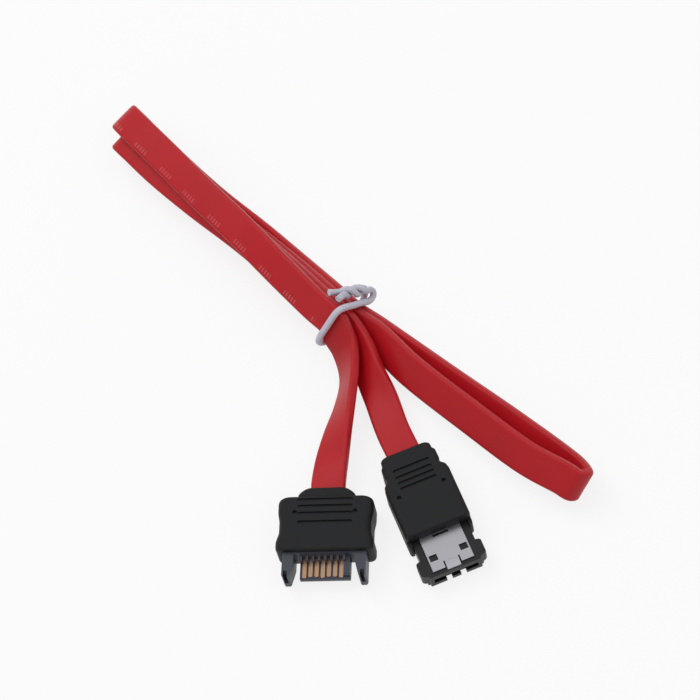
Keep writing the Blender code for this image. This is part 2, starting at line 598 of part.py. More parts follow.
def make_shelled_plug(group, cutters, mats):
    frame = bpy.data.objects.new("external_plug_place", None)
    group.objects.link(frame)
    frame.location = EXT_PLACE
    frame.rotation_euler = (0.0, 0.0, EXT_TURN)
    name = "external_plug"

    front = -EXT_BODY_LENGTH
    half_tail, half_grip, half_body = EXT_TAIL_WIDTH / 2, EXT_GRIP_WIDTH / 2, EXT_BODY_WIDTH / 2
    step, dip, full = EXT_TAIL_LENGTH, EXT_GRIP_LENGTH, EXT_GRIP_LENGTH + EXT_SHOULDER
    right = [
        (half_tail - 1.0 * MM, 0.0), (half_tail - 0.25 * MM, -0.25 * MM), (half_tail, -0.9 * MM), (half_tail, -step),
        (half_grip - 0.1 * MM, -step - 0.7 * MM), (half_grip, -step - 1.4 * MM), (half_grip, -dip + 0.8 * MM),
        (half_grip - 0.2 * MM, -dip), (half_grip - 0.1 * MM, -dip - 0.4 * MM), (half_body - 0.2 * MM, -full + 0.9 * MM),
        (half_body, -full), (half_body, front + 0.5 * MM), (half_body - 0.5 * MM, front),
    ]
    points = right + [(-x, y) for x, y in reversed(right)]
    body = outline(f"{name}_overmould", points, (0.0, BODY_HEIGHT), frame, group, mats["black"])
    round_edges(body, SIDE_ROUND, 3, 75)
    for side in (-1, 1):
        inner, outer = side * (EXT_FRAME_WIDTH / 2 + FIT), side * half_body
        tip = front - EXT_CHEEK_LENGTH
        points = [(inner, front + MM), (inner, tip), (outer - side * 0.5 * MM, tip), (outer - side * 0.05 * MM, tip + 0.5 * MM),
                  (outer - side * 0.05 * MM, front + MM)]
        cheek = outline(
            f"{name}_cheek_{'left' if side < 0 else 'right'}", points if side < 0 else points[::-1],
            (0.15 * MM, EXT_CHEEK_HEIGHT), frame, cutters,
        )
        round_edges(cheek, 0.2 * MM, 2, 75)
        combine(body, cheek, "UNION")
    frame_rear = front + EXT_FRAME_DEPTH
    mould_y = (frame_rear + FIT, frame_rear + FIT + MOULD_LENGTH)
    level = EXT_SLOT_FLOOR + FIT + CONTACT_THICKNESS / 2
    mould_half = CONTACT_PITCH * CONTACT_COUNT / 2 + 0.3 * MM
    for index, (x, y, z) in enumerate((
        ((-CABLE_WIDTH / 2 - SLOT_CLEARANCE, CABLE_WIDTH / 2 + SLOT_CLEARANCE), (-CABLE_IN_PLUG - MM, MM),
         (CABLE_LEVEL - CABLE_THICKNESS / 2 - SLOT_CLEARANCE, CABLE_LEVEL + CABLE_THICKNESS / 2 + SLOT_CLEARANCE)),
        ((-mould_half - POCKET_SIDE, mould_half + POCKET_SIDE), (frame_rear - MM, -CABLE_IN_PLUG + SLOT_CLEARANCE),
         (EXT_FRAME_BOTTOM + 0.3 * MM, CABLE_LEVEL + CABLE_THICKNESS / 2 + 0.5 * MM)),
        ((-EXT_FRAME_WIDTH / 2 - FIT, EXT_FRAME_WIDTH / 2 + FIT), (front - MM, frame_rear + FIT),
         (EXT_FRAME_BOTTOM - FIT, EXT_FRAME_TOP + EXT_SHELL_THICKNESS + 2 * FIT)),
    )):
        combine(body, box(f"{name}_hollow_{index + 1}", x, y, z, frame, cutters), "DIFFERENCE")
    for index, back in enumerate(EXT_GROOVES):
        cutter = box(
            f"{name}_groove_{index + 1}", (-EXT_GROOVE_LENGTH / 2, EXT_GROOVE_LENGTH / 2),
            (-back - GROOVE_WIDTH / 2, -back + GROOVE_WIDTH / 2), (BODY_HEIGHT - GROOVE_DEPTH, BODY_HEIGHT + MM), frame, cutters,
        )
        combine(body, cutter, "DIFFERENCE")
    for index, side in enumerate((-1, 1)):
        place = (side * EXT_DIMPLE_SPREAD / 2, -EXT_DIMPLE_BACK, BODY_HEIGHT)
        combine(body, rod(f"{name}_dimple_{index + 1}", DIMPLE_RADIUS, place, GROOVE_DEPTH * 2, frame, cutters), "DIFFERENCE")

    nose = front - EXT_NOSE_LENGTH
    half, ear = EXT_FRAME_WIDTH / 2, EXT_EAR_WIDTH / 2
    right = [
        (half, frame_rear), (half, nose + EXT_EAR_LENGTH + 0.5 * MM), (ear - 0.3 * MM, nose + EXT_EAR_LENGTH + 0.3 * MM),
        (ear, nose + EXT_EAR_LENGTH), (ear, nose + 1.2 * MM), (ear - 0.4 * MM, nose + 0.8 * MM), (half - 0.3 * MM, nose + 0.5 * MM), (half - 0.5 * MM, nose),
    ]
    points = right + [(-x, y) for x, y in reversed(right)]
    base = outline(f"{name}_insulator", points, (EXT_FRAME_BOTTOM, EXT_FRAME_TOP), frame, group, mats["frame"])
    round_edges(base, 0.15 * MM, 1, 60)
    slot = box(
        f"{name}_slot", (-EXT_SLOT_WIDTH / 2, EXT_SLOT_WIDTH / 2), (nose - MM, nose + EXT_SLOT_DEPTH),
        (EXT_SLOT_FLOOR, EXT_SLOT_FLOOR + EXT_SLOT_HEIGHT), frame, cutters,
    )
    combine(base, slot, "DIFFERENCE")
    for index, side in enumerate((-1, 1)):
        x = side * EXT_NOTCH_SPREAD / 2
        notch = box(
            f"{name}_notch_{index + 1}", (x - EXT_NOTCH_WIDTH / 2, x + EXT_NOTCH_WIDTH / 2), (nose - MM, nose + 1.0 * MM),
            (EXT_FRAME_BOTTOM - MM, EXT_SLOT_FLOOR + 0.3 * MM), frame, cutters,
        )
        combine(base, notch, "DIFFERENCE")
        x = sorted((side * (half + 0.1 * MM), side * (ear + MM)))
        under = box(f"{name}_ear_under_{index + 1}", x, (nose - MM, nose + EXT_EAR_LENGTH + 1.5 * MM),
                    (EXT_FRAME_BOTTOM - MM, EXT_FRAME_BOTTOM + EXT_EAR_DROP), frame, cutters)
        combine(base, under, "DIFFERENCE")
    for index in range(CONTACT_COUNT):
        x = contact_x(index)
        way = box(
            f"{name}_contact_way_{index + 1}", (x - CONTACT_WIDTH / 2 - FIT, x + CONTACT_WIDTH / 2 + FIT),
            (nose + EXT_SLOT_DEPTH - MM, frame_rear + MM), (EXT_SLOT_FLOOR, EXT_SLOT_FLOOR + CONTACT_THICKNESS + 2 * FIT), frame, cutters,
        )
        combine(base, way, "DIFFERENCE")
        box(
            f"{name}_contact_{index + 1}", (x - CONTACT_WIDTH / 2, x + CONTACT_WIDTH / 2), (nose + EXT_CONTACT_SHORT, frame_rear),
            (level - CONTACT_THICKNESS / 2, level + CONTACT_THICKNESS / 2), frame, group, mats["gold"],
        )

    plate_rear = front + EXT_SHELL_TAIL
    plate_front = nose + EXT_SHELL_SHORT
    low, high = EXT_FRAME_TOP + FIT, EXT_FRAME_TOP + FIT + EXT_SHELL_THICKNESS
    half = EXT_SHELL_WIDTH / 2
    shell = box(f"{name}_shell", (-half, half), (plate_front, plate_rear), (low, high), frame, group, mats["steel"])
    for side in (-1, 1):
        x = sorted((side * (half - EXT_SHELL_THICKNESS), side * half))
        flange = box(f"{name}_flange_{'left' if side < 0 else 'right'}", x, (plate_front + 0.8 * MM, plate_rear),
                     (low - EXT_SHELL_FLANGE, high - EXT_SHELL_THICKNESS / 2), frame, cutters)
        combine(shell, flange, "UNION")
        groove = box(f"{name}_flange_way_{'left' if side < 0 else 'right'}", (x[0] - FIT, x[1] + FIT),
                     (plate_front + 0.8 * MM - FIT, frame_rear + MM), (low - EXT_SHELL_FLANGE - FIT, EXT_FRAME_TOP + MM), frame, cutters)
        combine(base, groove, "DIFFERENCE")
        place = side * EXT_HOLE_SPREAD / 2
        window = box(
            f"{name}_window_{'left' if side < 0 else 'right'}", (place - EXT_HOLE_WIDTH / 2, place + EXT_HOLE_WIDTH / 2),
            (plate_front + EXT_HOLE_BACK - EXT_HOLE_LENGTH / 2, plate_front + EXT_HOLE_BACK + EXT_HOLE_LENGTH / 2), (low - MM, high + MM), frame, cutters,
        )
        combine(shell, window, "DIFFERENCE")
        place = side * EXT_TAB_WIDTH / 2
        slit = box(
            f"{name}_slit_{'left' if side < 0 else 'right'}", (place - EXT_SLIT_WIDTH / 2, place + EXT_SLIT_WIDTH / 2),
            (plate_front - MM, plate_front + EXT_SLIT_LENGTH), (low - MM, high + MM), frame, cutters,
        )
        combine(shell, slit, "DIFFERENCE")
    tab_half = (EXT_TAB_WIDTH - EXT_SLIT_WIDTH) / 2
    bend, tip, drop = plate_front + EXT_SLIT_LENGTH - 0.3 * MM, plate_front - EXT_TAB_REACH, EXT_TAB_DROP
    gap = box(f"{name}_tab_gap", (-tab_half, tab_half), (plate_front - MM, bend), (low - MM, high + MM), frame, cutters)
    combine(shell, gap, "DIFFERENCE")
    tab = side_prism(
        f"{name}_tab", [(bend + 0.3 * MM, low), (bend + 0.3 * MM, high - 0.03 * MM), (bend, high - 0.03 * MM),
        (tip, high - drop), (tip, low - drop), (bend, low)], (-tab_half, tab_half), frame, cutters,
    )
    combine(shell, tab, "UNION")
    under = box(f"{name}_tab_room", (-tab_half - 0.2 * MM, tab_half + 0.2 * MM), (tip - 0.15 * MM, bend + 0.2 * MM),
                (low - drop - 0.1 * MM, EXT_FRAME_TOP + MM), frame, cutters)
    combine(base, under, "DIFFERENCE")
    y = front - EXT_DASH_AHEAD
    dash = box(f"{name}_dash", (-EXT_DASH_LENGTH / 2, EXT_DASH_LENGTH / 2), (y - EXT_DASH_WIDTH, y), (low - MM, high + MM), frame, cutters)
    combine(shell, dash, "DIFFERENCE")
    mould_z = (EXT_FRAME_BOTTOM + 0.5 * MM, CABLE_LEVEL + CABLE_THICKNESS / 2 + 0.3 * MM)
    make_mould(name, frame, group, cutters, mould_y, mould_half, mould_z, level, 0.0, mats["mould"])
    make_wires(name, frame, group, level, 0.0, mould_y, mats["copper"], mats["drain"])


def main():
    clear_scene()
    group = collection("folded_flat_data_cable")
    cutters = collection("cutters")
    mats = {
        "black": material("overmould_black", (0.02, 0.021, 0.023), 0.55),
        "slate": material("insulator_slate", (0.045, 0.047, 0.056), 0.4),
        "frame": material("frame_black", (0.018, 0.018, 0.02), 0.4),
        "gold": material("contact_gold", (0.6, 0.36, 0.2), 0.35, 1.0),
        "steel": material("shell_steel", (0.45, 0.45, 0.48), 0.35, 1.0),
        "mould": material("inner_mould_clear", (0.62, 0.6, 0.55), 0.5),
        "copper": material("wire_copper", (0.72, 0.4, 0.25), 0.35, 1.0),
        "drain": material("drain_tin", (0.66, 0.66, 0.64), 0.4, 1.0),
    }
    make_cable(group)
    make_tie(group)
    make_signal_plug(group, cutters, mats)
    make_shelled_plug(group, cutters, mats)


main()
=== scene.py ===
"""Looks for the folded flat data cable: the ribbon and its tie, the keyed signal plug with
guide arms and the metal topped plug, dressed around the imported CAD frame.
The scene is in metres, +Z up, lying on the plane z = 0. Shapes are drawn in millimetres."""

import math

import bmesh
import bpy
import numpy as np
from mathutils import Matrix, Vector


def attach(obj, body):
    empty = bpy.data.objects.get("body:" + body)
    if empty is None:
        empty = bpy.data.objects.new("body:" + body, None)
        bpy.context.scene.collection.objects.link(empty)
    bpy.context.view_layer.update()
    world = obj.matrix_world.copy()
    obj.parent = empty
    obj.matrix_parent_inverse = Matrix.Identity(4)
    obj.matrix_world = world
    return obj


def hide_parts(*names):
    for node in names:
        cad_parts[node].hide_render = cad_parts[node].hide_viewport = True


bl_info = {
    "name": "Folded Flat Data Cable",
    "version": (1, 0, 0),
    "blender": (4, 5, 0),
    "location": "View3D > Sidebar > Data Cable",
    "description": "Builds the visible pieces of a tied flat data cable with its two plugs",
    "category": "Object",
}

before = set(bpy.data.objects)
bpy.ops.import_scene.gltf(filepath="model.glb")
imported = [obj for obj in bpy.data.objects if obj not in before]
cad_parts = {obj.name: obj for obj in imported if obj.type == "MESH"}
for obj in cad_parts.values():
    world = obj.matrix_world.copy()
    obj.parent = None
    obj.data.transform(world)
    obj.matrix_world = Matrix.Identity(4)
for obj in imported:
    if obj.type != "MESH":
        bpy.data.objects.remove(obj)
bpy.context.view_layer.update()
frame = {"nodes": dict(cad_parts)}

MM = 0.001
SMALLEST_FLAT_FACE = 1.0e-7  # square metres

# Names of the two plugs' nodes, and each plug's place: the middle of its rear face on the
# surface below, and the turn about +Z
SIGNAL, SIGNAL_PLACE, SIGNAL_TURN = "internal_plug", Vector((-11.349, 5.272, 0.0)), 0.0
METAL, METAL_PLACE, METAL_TURN = "external_plug", Vector((4.529, 13.096, 0.0)), math.radians(22.8)
CABLE_LEVEL = 3.8
CABLE_IN_PLUG = 4.0

# The cable's route from the signal plug to the metal topped plug: the middle of the cable,
# then the direction across its width
ROUTE = (
    (-11.36, 7.44, 3.8, 0.999, -0.02, 0.05), (-10.81, 12.89, 3.9, 0.955, -0.06, 0.29),
    (-9.77, 19.31, 4.2, 0.797, -0.076, 0.599), (-8.46, 26.01, 4.4, 0.578, -0.017, 0.816),
    (-7.79, 32.32, 4.74, 0.488, 0.055, 0.871), (-8.58, 37.37, 6.49, 0.58, 0.216, 0.786),
    (-9.94, 40.24, 8.78, 0.584, 0.408, 0.702), (-11.12, 42.57, 10.0, 0.525, 0.489, 0.696),
    (-15.22, 46.89, 9.9, 0.536, 0.497, 0.682), (-22.69, 55.24, 10.0, 0.593, 0.553, 0.585),
    (-32.0, 65.9, 10.1, 0.646, 0.625, 0.44), (-41.45, 76.09, 10.1, 0.695, 0.582, 0.422),
    (-50.4, 86.12, 10.2, 0.711, 0.599, 0.369), (-57.26, 93.66, 10.2, 0.715, 0.604, 0.352),
    (-60.09, 97.28, 9.2, 0.741, 0.572, 0.351), (-60.51, 98.93, 6.4, 0.741, 0.572, 0.351),
    (-59.19, 98.58, 3.7, 0.741, 0.572, 0.351), (-56.04, 95.48, 2.5, 0.715, 0.604, 0.352),
    (-49.2, 87.94, 2.5, 0.71, 0.6, 0.369), (-39.82, 78.22, 2.7, 0.694, 0.583, 0.423),
    (-29.72, 68.71, 3.3, 0.646, 0.621, 0.444), (-19.72, 58.76, 4.1, 0.593, 0.551, 0.587),
    (-11.77, 50.8, 4.8, 0.536, 0.494, 0.685), (-7.66, 46.58, 5.0, 0.524, 0.486, 0.699),
    (-2.63, 43.1, 4.1, 0.512, 0.526, 0.679), (3.42, 38.32, 3.8, 0.509, 0.54, 0.67),
    (13.79, 29.95, 3.6, 0.501, 0.569, 0.653), (26.57, 19.67, 3.6, 0.499, 0.564, 0.658),
    (37.37, 10.5, 3.6, 0.517, 0.546, 0.659), (39.78, 7.88, 4.0, 0.517, 0.545, 0.661),
    (41.02, 5.02, 5.2, 0.517, 0.545, 0.661), (39.61, 4.29, 6.3, 0.517, 0.545, 0.66),
    (37.14, 5.84, 6.7, 0.528, 0.562, 0.636), (30.01, 10.57, 6.3, 0.517, 0.57, 0.639),
    (18.3, 20.67, 6.0, 0.506, 0.577, 0.642), (5.57, 32.11, 5.92, 0.505, 0.557, 0.659),
    (-2.38, 40.85, 5.44, 0.503, 0.534, 0.68), (-8.75, 45.26, 6.6, 0.525, 0.488, 0.698),
    (-12.92, 49.5, 6.5, 0.536, 0.495, 0.684), (-20.86, 57.46, 5.9, 0.593, 0.551, 0.587),
    (-31.09, 67.22, 4.9, 0.646, 0.622, 0.442), (-41.82, 76.36, 4.2, 0.694, 0.583, 0.422),
    (-51.73, 85.51, 3.8, 0.71, 0.6, 0.368), (-58.7, 92.96, 3.7, 0.715, 0.604, 0.352),
    (-60.34, 94.46, 4.2, 0.741, 0.573, 0.351), (-60.73, 94.61, 5.2, 0.741, 0.573, 0.351),
    (-60.6, 94.02, 6.1, 0.741, 0.573, 0.351), (-59.12, 92.26, 6.7, 0.715, 0.604, 0.352),
    (-52.17, 84.81, 6.6, 0.711, 0.6, 0.368), (-42.47, 75.57, 6.9, 0.694, 0.583, 0.422),
    (-31.97, 66.23, 7.3, 0.646, 0.624, 0.44), (-21.88, 56.25, 7.9, 0.593, 0.553, 0.586),
    (-14.07, 48.2, 8.2, 0.536, 0.495, 0.684), (-9.97, 43.87, 8.3, 0.525, 0.488, 0.698),
    (-7.63, 41.38, 7.0, 0.57, 0.394, 0.721), (-5.05, 37.29, 5.6, 0.622, 0.277, 0.732),
    (-3.37, 32.47, 4.9, 0.73, 0.269, 0.629), (-0.86, 26.53, 4.1, 0.891, 0.338, 0.304),
    (1.76, 19.12, 3.8, 0.921, 0.387, 0.05), (3.63, 14.99, 3.8, 0.922, 0.388, 0.0),
)

# The tie: middle of the four strands, directions across them and through their stack, and
# points along, through and across
TIE_CENTRE = Vector((-9.373, 44.572, 7.48))
TIE_ACROSS = Vector((0.506, 0.467, 0.725)).normalized()
TIE_THROUGH = Vector((-0.474, -0.552, 0.686)).normalized()
TIE_ALONG = TIE_THROUGH.cross(TIE_ACROSS)
TIE_RING = (
    (1.09, -5.78, 5.93), (0.98, -6.2, 4.58), (0.54, -5.99, 3.18), (0.2, -5.75, 0.0),
    (0.0, -5.7, -3.0), (-0.2, -5.2, -4.3), (-0.4, -3.9, -4.75), (-0.5, 0.0, -5.2),
    (-0.4, 3.3, -5.5), (-0.35, 5.3, -5.0), (-0.4, 6.05, -3.4), (-0.6, 5.85, 0.0),
    (-0.8, 5.6, 3.0), (-1.0, 5.0, 4.15), (-1.2, 3.8, 4.65), (-1.3, 1.0, 4.75),
    (-1.2, -3.0, 4.75), (-1.32, -4.72, 4.8), (-1.06, -6.07, 5.53), (-0.52, -6.13, 6.45),
    (-0.07, -5.37, 6.9),
)
TIE_COIL_RIGHT = (0.71, -4.0, 6.49)
TIE_COIL_LEFT = (2.04, 1.53, 5.57)
TIE_TAIL_THIN = (3.81, 3.79, 4.92)
TIE_TAIL_THICK = (1.03, 3.99, 5.16)
TIE_COIL_RADIUS = 0.76
TIE_COIL_START = math.radians(108.5)
TIE_COIL_STEPS = 12

# Print stand-in: groups along the cable, strokes in each group, in a band near one edge of the
# face whose sign TICK_FACE gives; metres, as the shader has them
TICK_REPEAT, TICK_SHARE = 0.0088, 0.46
TICK_SPACING, STROKE_SHARE = 0.00082, 0.42
TICK_HEIGHT, TICK_ACROSS, TICK_FACE = 0.0010, -0.0023, -1.0
TICK_RANGE = (0.047, 0.118)

# Signal plug, counted forwards from its rear along -y: grooves, dimples and (place, half width)
# of the body are counted from the neck's front end
SIGNAL_NECK = 2.4
SIGNAL_BODY = 12.1
SIGNAL_GROOVES = (0.9, 2.4, 3.95, 5.95)
SIGNAL_DIMPLES = 3.65
SIGNAL_WIDTHS = ((0.0, 9.9), (3.0, 9.9), (5.7, 9.55), (7.5, 9.55), (10.2, 10.15), (12.1, 10.15))
SIGNAL_FACE = -SIGNAL_NECK - SIGNAL_BODY - 0.3
SIGNAL_BASE = SIGNAL_FACE + 5.5
TONGUE_TOP = 3.6
CONTACT_SHIFT = -0.45

# Metal topped plug, counted the same way, with the ends of its frame
METAL_BODY = 19.2
METAL_GROOVES = (4.2, 5.8, 7.15, 8.5)
METAL_DIMPLES = 10.15
METAL_WIDTHS = (
    (0.0, 5.3), (0.9, 5.5), (1.6, 5.5), (2.6, 6.03), (4.4, 6.05), (5.3, 5.86), (6.7, 6.9),
    (7.6, 7.1), (18.7, 7.1), (19.2, 7.0),
)
METAL_FRONT = -METAL_BODY
METAL_NOSE = METAL_FRONT - 8.9
FRAME_REAR = METAL_FRONT + 4.6

FLOOR_GLOW = 0.82
WORLD_LEVEL = 0.38
CAMERA_AIM = Vector((-0.008533, 0.040985, 0.0))
LAMPS = (
    ("key", (-0.45, 0.35, 0.75), 0.6, 3.2),
    ("fill", (0.6, -0.35, 0.6), 0.7, 1.0),
    ("top", (0.0, 0.1, 0.95), 1.5, 2.7),
)


def length(name, description, value):
    return bpy.props.FloatProperty(
        name=name, description=description, default=value, subtype="DISTANCE")


def angle(name, description, degrees):
    return bpy.props.FloatProperty(
        name=name, description=description, default=math.radians(degrees), subtype="ANGLE")


def colour(name, description, value):
    return bpy.props.FloatVectorProperty(
        name=name, description=description, default=value, subtype="COLOR", size=3, min=0.0,
        max=1.0)


class CableSizes(bpy.types.PropertyGroup):
    width: length("Width", "Width of the flat cable", 0.0072)
    thickness: length("Thickness", "Thickness of the flat cable", 0.002)
    corner: length("Edge Round", "Radius of the cable's long edges", 0.0006)
    crown: length("Crown", "Rise of each broad face towards its middle", 0.00006)
    stations: bpy.props.IntProperty(
        name="Stations", description="Sections between two chosen points of the route", default=8)
    tie_width: length("Tie Width", "Width of the coated tie", 0.00142)
    tie_thickness: length("Tie Thickness", "Thickness of the coated tie", 0.00118)


class PlugSizes(bpy.types.PropertyGroup):
    height: length("Height", "Height of both overmoulds", 0.0076)
    groove_depth: length("Groove Depth", "Depth of the grip grooves", 0.00038)
    contact_pitch: length("Contact Pitch", "Spacing of the contacts", 0.00127)
    contact_width: length("Contact Width", "Width of each contact", 0.0009)
    edge: length("Edge Break", "Rounding of the hard plastic's edges", 0.00012)
    sheet: length("Sheet", "Thickness of the plated sheet", 0.0003)


class PartColours(bpy.types.PropertyGroup):
    jacket: colour("Jacket", "Red of the cable jacket", (0.45, 0.005, 0.011))
    print_marks: colour("Marks", "Faint tick marks on the jacket", (0.60, 0.15, 0.17))
    tie: colour("Tie", "Coating of the tie", (0.56, 0.55, 0.63))
    overmould: colour("Overmould", "Soft black of both plugs", (0.0068, 0.0074, 0.0082))
    insulator: colour("Insulator", "Slate plastic of the signal plug", (0.055, 0.059, 0.076))
    frame: colour("Frame", "Black plastic of the metal topped plug", (0.0055, 0.0058, 0.0070))
    shell: colour("Shell", "Plated sheet", (0.305, 0.302, 0.325))
    contact: colour("Contact", "Thin gold plating", (0.33, 0.205, 0.13))
    mould: colour("Inner Mould", "Milky block round the joints", (0.60, 0.56, 0.48))
    copper: colour("Copper", "Signal conductors", (0.72, 0.38, 0.22))
    tin: colour("Tin", "Tinned ground conductors", (0.62, 0.62, 0.60))


class StudioSettings(bpy.types.PropertyGroup):
    elevation: angle("Elevation", "Camera angle above the surface", 60.0)
    azimuth: angle("Azimuth", "Camera turn to the right about +Z", 15.0)
    roll: angle("Roll", "Camera turn about its own axis", 15.0)
    distance: length("Distance", "Camera distance from its aim", 0.55)
    lens: bpy.props.FloatProperty(
        name="Lens", description="Focal length in millimetres", default=131.53)
    floor: length("Floor", "Side of the square floor", 6.0)


# Shader node groups and materials


class Nodes:
    """Adds nodes to a tree. An input may be a value, a socket, or a node, which stands for its
    first output."""

    def __init__(self, tree):
        self.tree = tree

    def add(self, kind, inputs=None, **properties):
        made = self.tree.nodes.new(kind)
        for name, value in properties.items():
            setattr(made, name, value)
        for key, value in (inputs or {}).items():
            self.put(value, made.inputs[key])
        return made

    def put(self, value, socket):
        if isinstance(value, bpy.types.Node):
            value = value.outputs[0]
        if isinstance(value, bpy.types.NodeSocket):
            self.tree.links.new(value, socket)
        else:
            socket.default_value = value

    def math(self, operation, first, second=0.0, clamp=False):
        return self.add(
            "ShaderNodeMath", {0: first, 1: second}, operation=operation, use_clamp=clamp)

    def product(self, first, *others):
        for other in others:
            first = self.math("MULTIPLY", first, other)
        return first

    def mix_colour(self, factor, first, second):
        return self.add(
            "ShaderNodeMix", {0: factor, 6: first, 7: second}, data_type="RGBA").outputs[2]

    def spread(self, value, low, high):
        """Maps a 0 to 1 value onto a range."""
        return self.add("ShaderNodeMapRange", {"Value": value, "To Min": low, "To Max": high})

    def noise(self, vector, scale, detail, roughness=0.5, distortion=0.0):
        return self.add("ShaderNodeTexNoise", {
            "Vector": vector, "Scale": scale, "Detail": detail, "Roughness": roughness,
            "Distortion": distortion})


def node_group(name, kind, inputs, outputs):
    """An empty group with its sockets: the group, its nodes, what it is given, what it gives."""
    tree = bpy.data.node_groups.new(name, kind)
    for label, socket, default in inputs:
        made = tree.interface.new_socket(label, in_out="INPUT", socket_type=f"NodeSocket{socket}")
        if default is not None:
            made.default_value = default
    for label, socket in outputs:
        tree.interface.new_socket(label, in_out="OUTPUT", socket_type=f"NodeSocket{socket}")
    nodes = Nodes(tree)
    return tree, nodes, nodes.add("NodeGroupInput").outputs, nodes.add("NodeGroupOutput").inputs


def kept(name):
    """Builds a node group on its first use and finds it again later."""
    return lambda build: lambda: bpy.data.node_groups.get(name) or build(name)


@kept("surface_grain")
def surface_grain_group(name):
    """Fine moulded grain: a height for bump and a slow tone for the colour."""
    tree, nodes, given, out = node_group(
        name, "ShaderNodeTree",
        [("Vector", "Vector", None), ("Fine Scale", "Float", 9000.0),
         ("Broad Scale", "Float", 260.0), ("Pits", "Float", 0.5)],
        [("Height", "Float"), ("Tone", "Float")])
    fine = nodes.noise(given["Vector"], given["Fine Scale"], 2.0, 0.55)
    pits = nodes.add("ShaderNodeTexVoronoi", {
        "Vector": given["Vector"], "Scale": given["Fine Scale"]}, feature="SMOOTH_F1")
    nodes.put(nodes.math("ADD", fine, nodes.product(pits, given["Pits"])), out["Height"])
    nodes.put(nodes.noise(given["Vector"], given["Broad Scale"], 4.0, 0.6), out["Tone"])
    return tree


@kept("handling_marks")
def handling_group(name):
    """Sparse rubbed and smudged patches, from 0 to 1."""
    tree, nodes, given, out = node_group(
        name, "ShaderNodeTree",
        [("Vector", "Vector", None), ("Scale", "Float", 180.0), ("Cover", "Float", 0.4)],
        [("Mask", "Float")])
    patches = nodes.noise(given["Vector"], given["Scale"], 5.0, 0.7, 0.6)
    lifted = nodes.math("SUBTRACT", patches, nodes.math("SUBTRACT", 1.0, given["Cover"]))
    nodes.put(nodes.math("MULTIPLY", lifted, 4.0, clamp=True), out["Mask"])
    return tree


def new_material(name, specular):
    """A principled material with the shared grain and handling marks, not yet joined up."""
    made = bpy.data.materials.new(name)
    made.use_nodes = True
    made.node_tree.nodes.clear()
    nodes = Nodes(made.node_tree)
    shader = nodes.add("ShaderNodeBsdfPrincipled", {"Specular IOR Level": specular})
    nodes.add("ShaderNodeOutputMaterial", {"Surface": shader})
    where = nodes.add("ShaderNodeTexCoord").outputs["Object"]
    grain = nodes.add("ShaderNodeGroup", node_tree=surface_grain_group())
    marks = nodes.add("ShaderNodeGroup", node_tree=handling_group())
    nodes.put(where, marks.inputs["Vector"])
    return made, nodes, shader.inputs, where, grain, marks


def tinted(base, factor, lift=0.0):
    return (*(min(1.0, c * factor + lift) for c in base), 1.0)


def moulded_material(
    name, base, rough, fine=9000.0, bump=0.2, height=0.00003, tone=0.25, pits=0.5, turn=0.0,
    metallic=0.0, stretch=(1.0, 1.0, 1.0), specular=0.5, worn=0.06, more=None,
):
    """A moulded or plated surface: grain in the bump, a slow tone and rubbed patches."""
    made, nodes, shader, where, grain, marks = new_material(name, specular)
    nodes.put(nodes.add("ShaderNodeMapping", {
        "Vector": where, "Rotation": (0.0, 0.0, turn), "Scale": stretch}), grain.inputs["Vector"])
    grain.inputs["Fine Scale"].default_value = fine
    grain.inputs["Pits"].default_value = pits
    slow = grain.outputs["Tone"]
    varied = nodes.mix_colour(slow, tinted(base, 1.0 - tone), tinted(base, 1.0 + tone))
    rubbed = nodes.mix_colour(nodes.product(marks, worn), varied, tinted(base, 1.35, 0.01))
    nodes.put(rubbed, shader["Base Color"])
    even = nodes.spread(slow, rough - 0.06, rough + 0.06)
    nodes.put(nodes.math("SUBTRACT", even, nodes.product(marks, 0.05)), shader["Roughness"])
    nodes.put(nodes.add("ShaderNodeBump", {
        "Height": grain.outputs["Height"], "Strength": bump, "Distance": height}), shader["Normal"])
    shader["Metallic"].default_value = metallic
    for label, value in (more or {}).items():
        shader[label].default_value = value
    return made


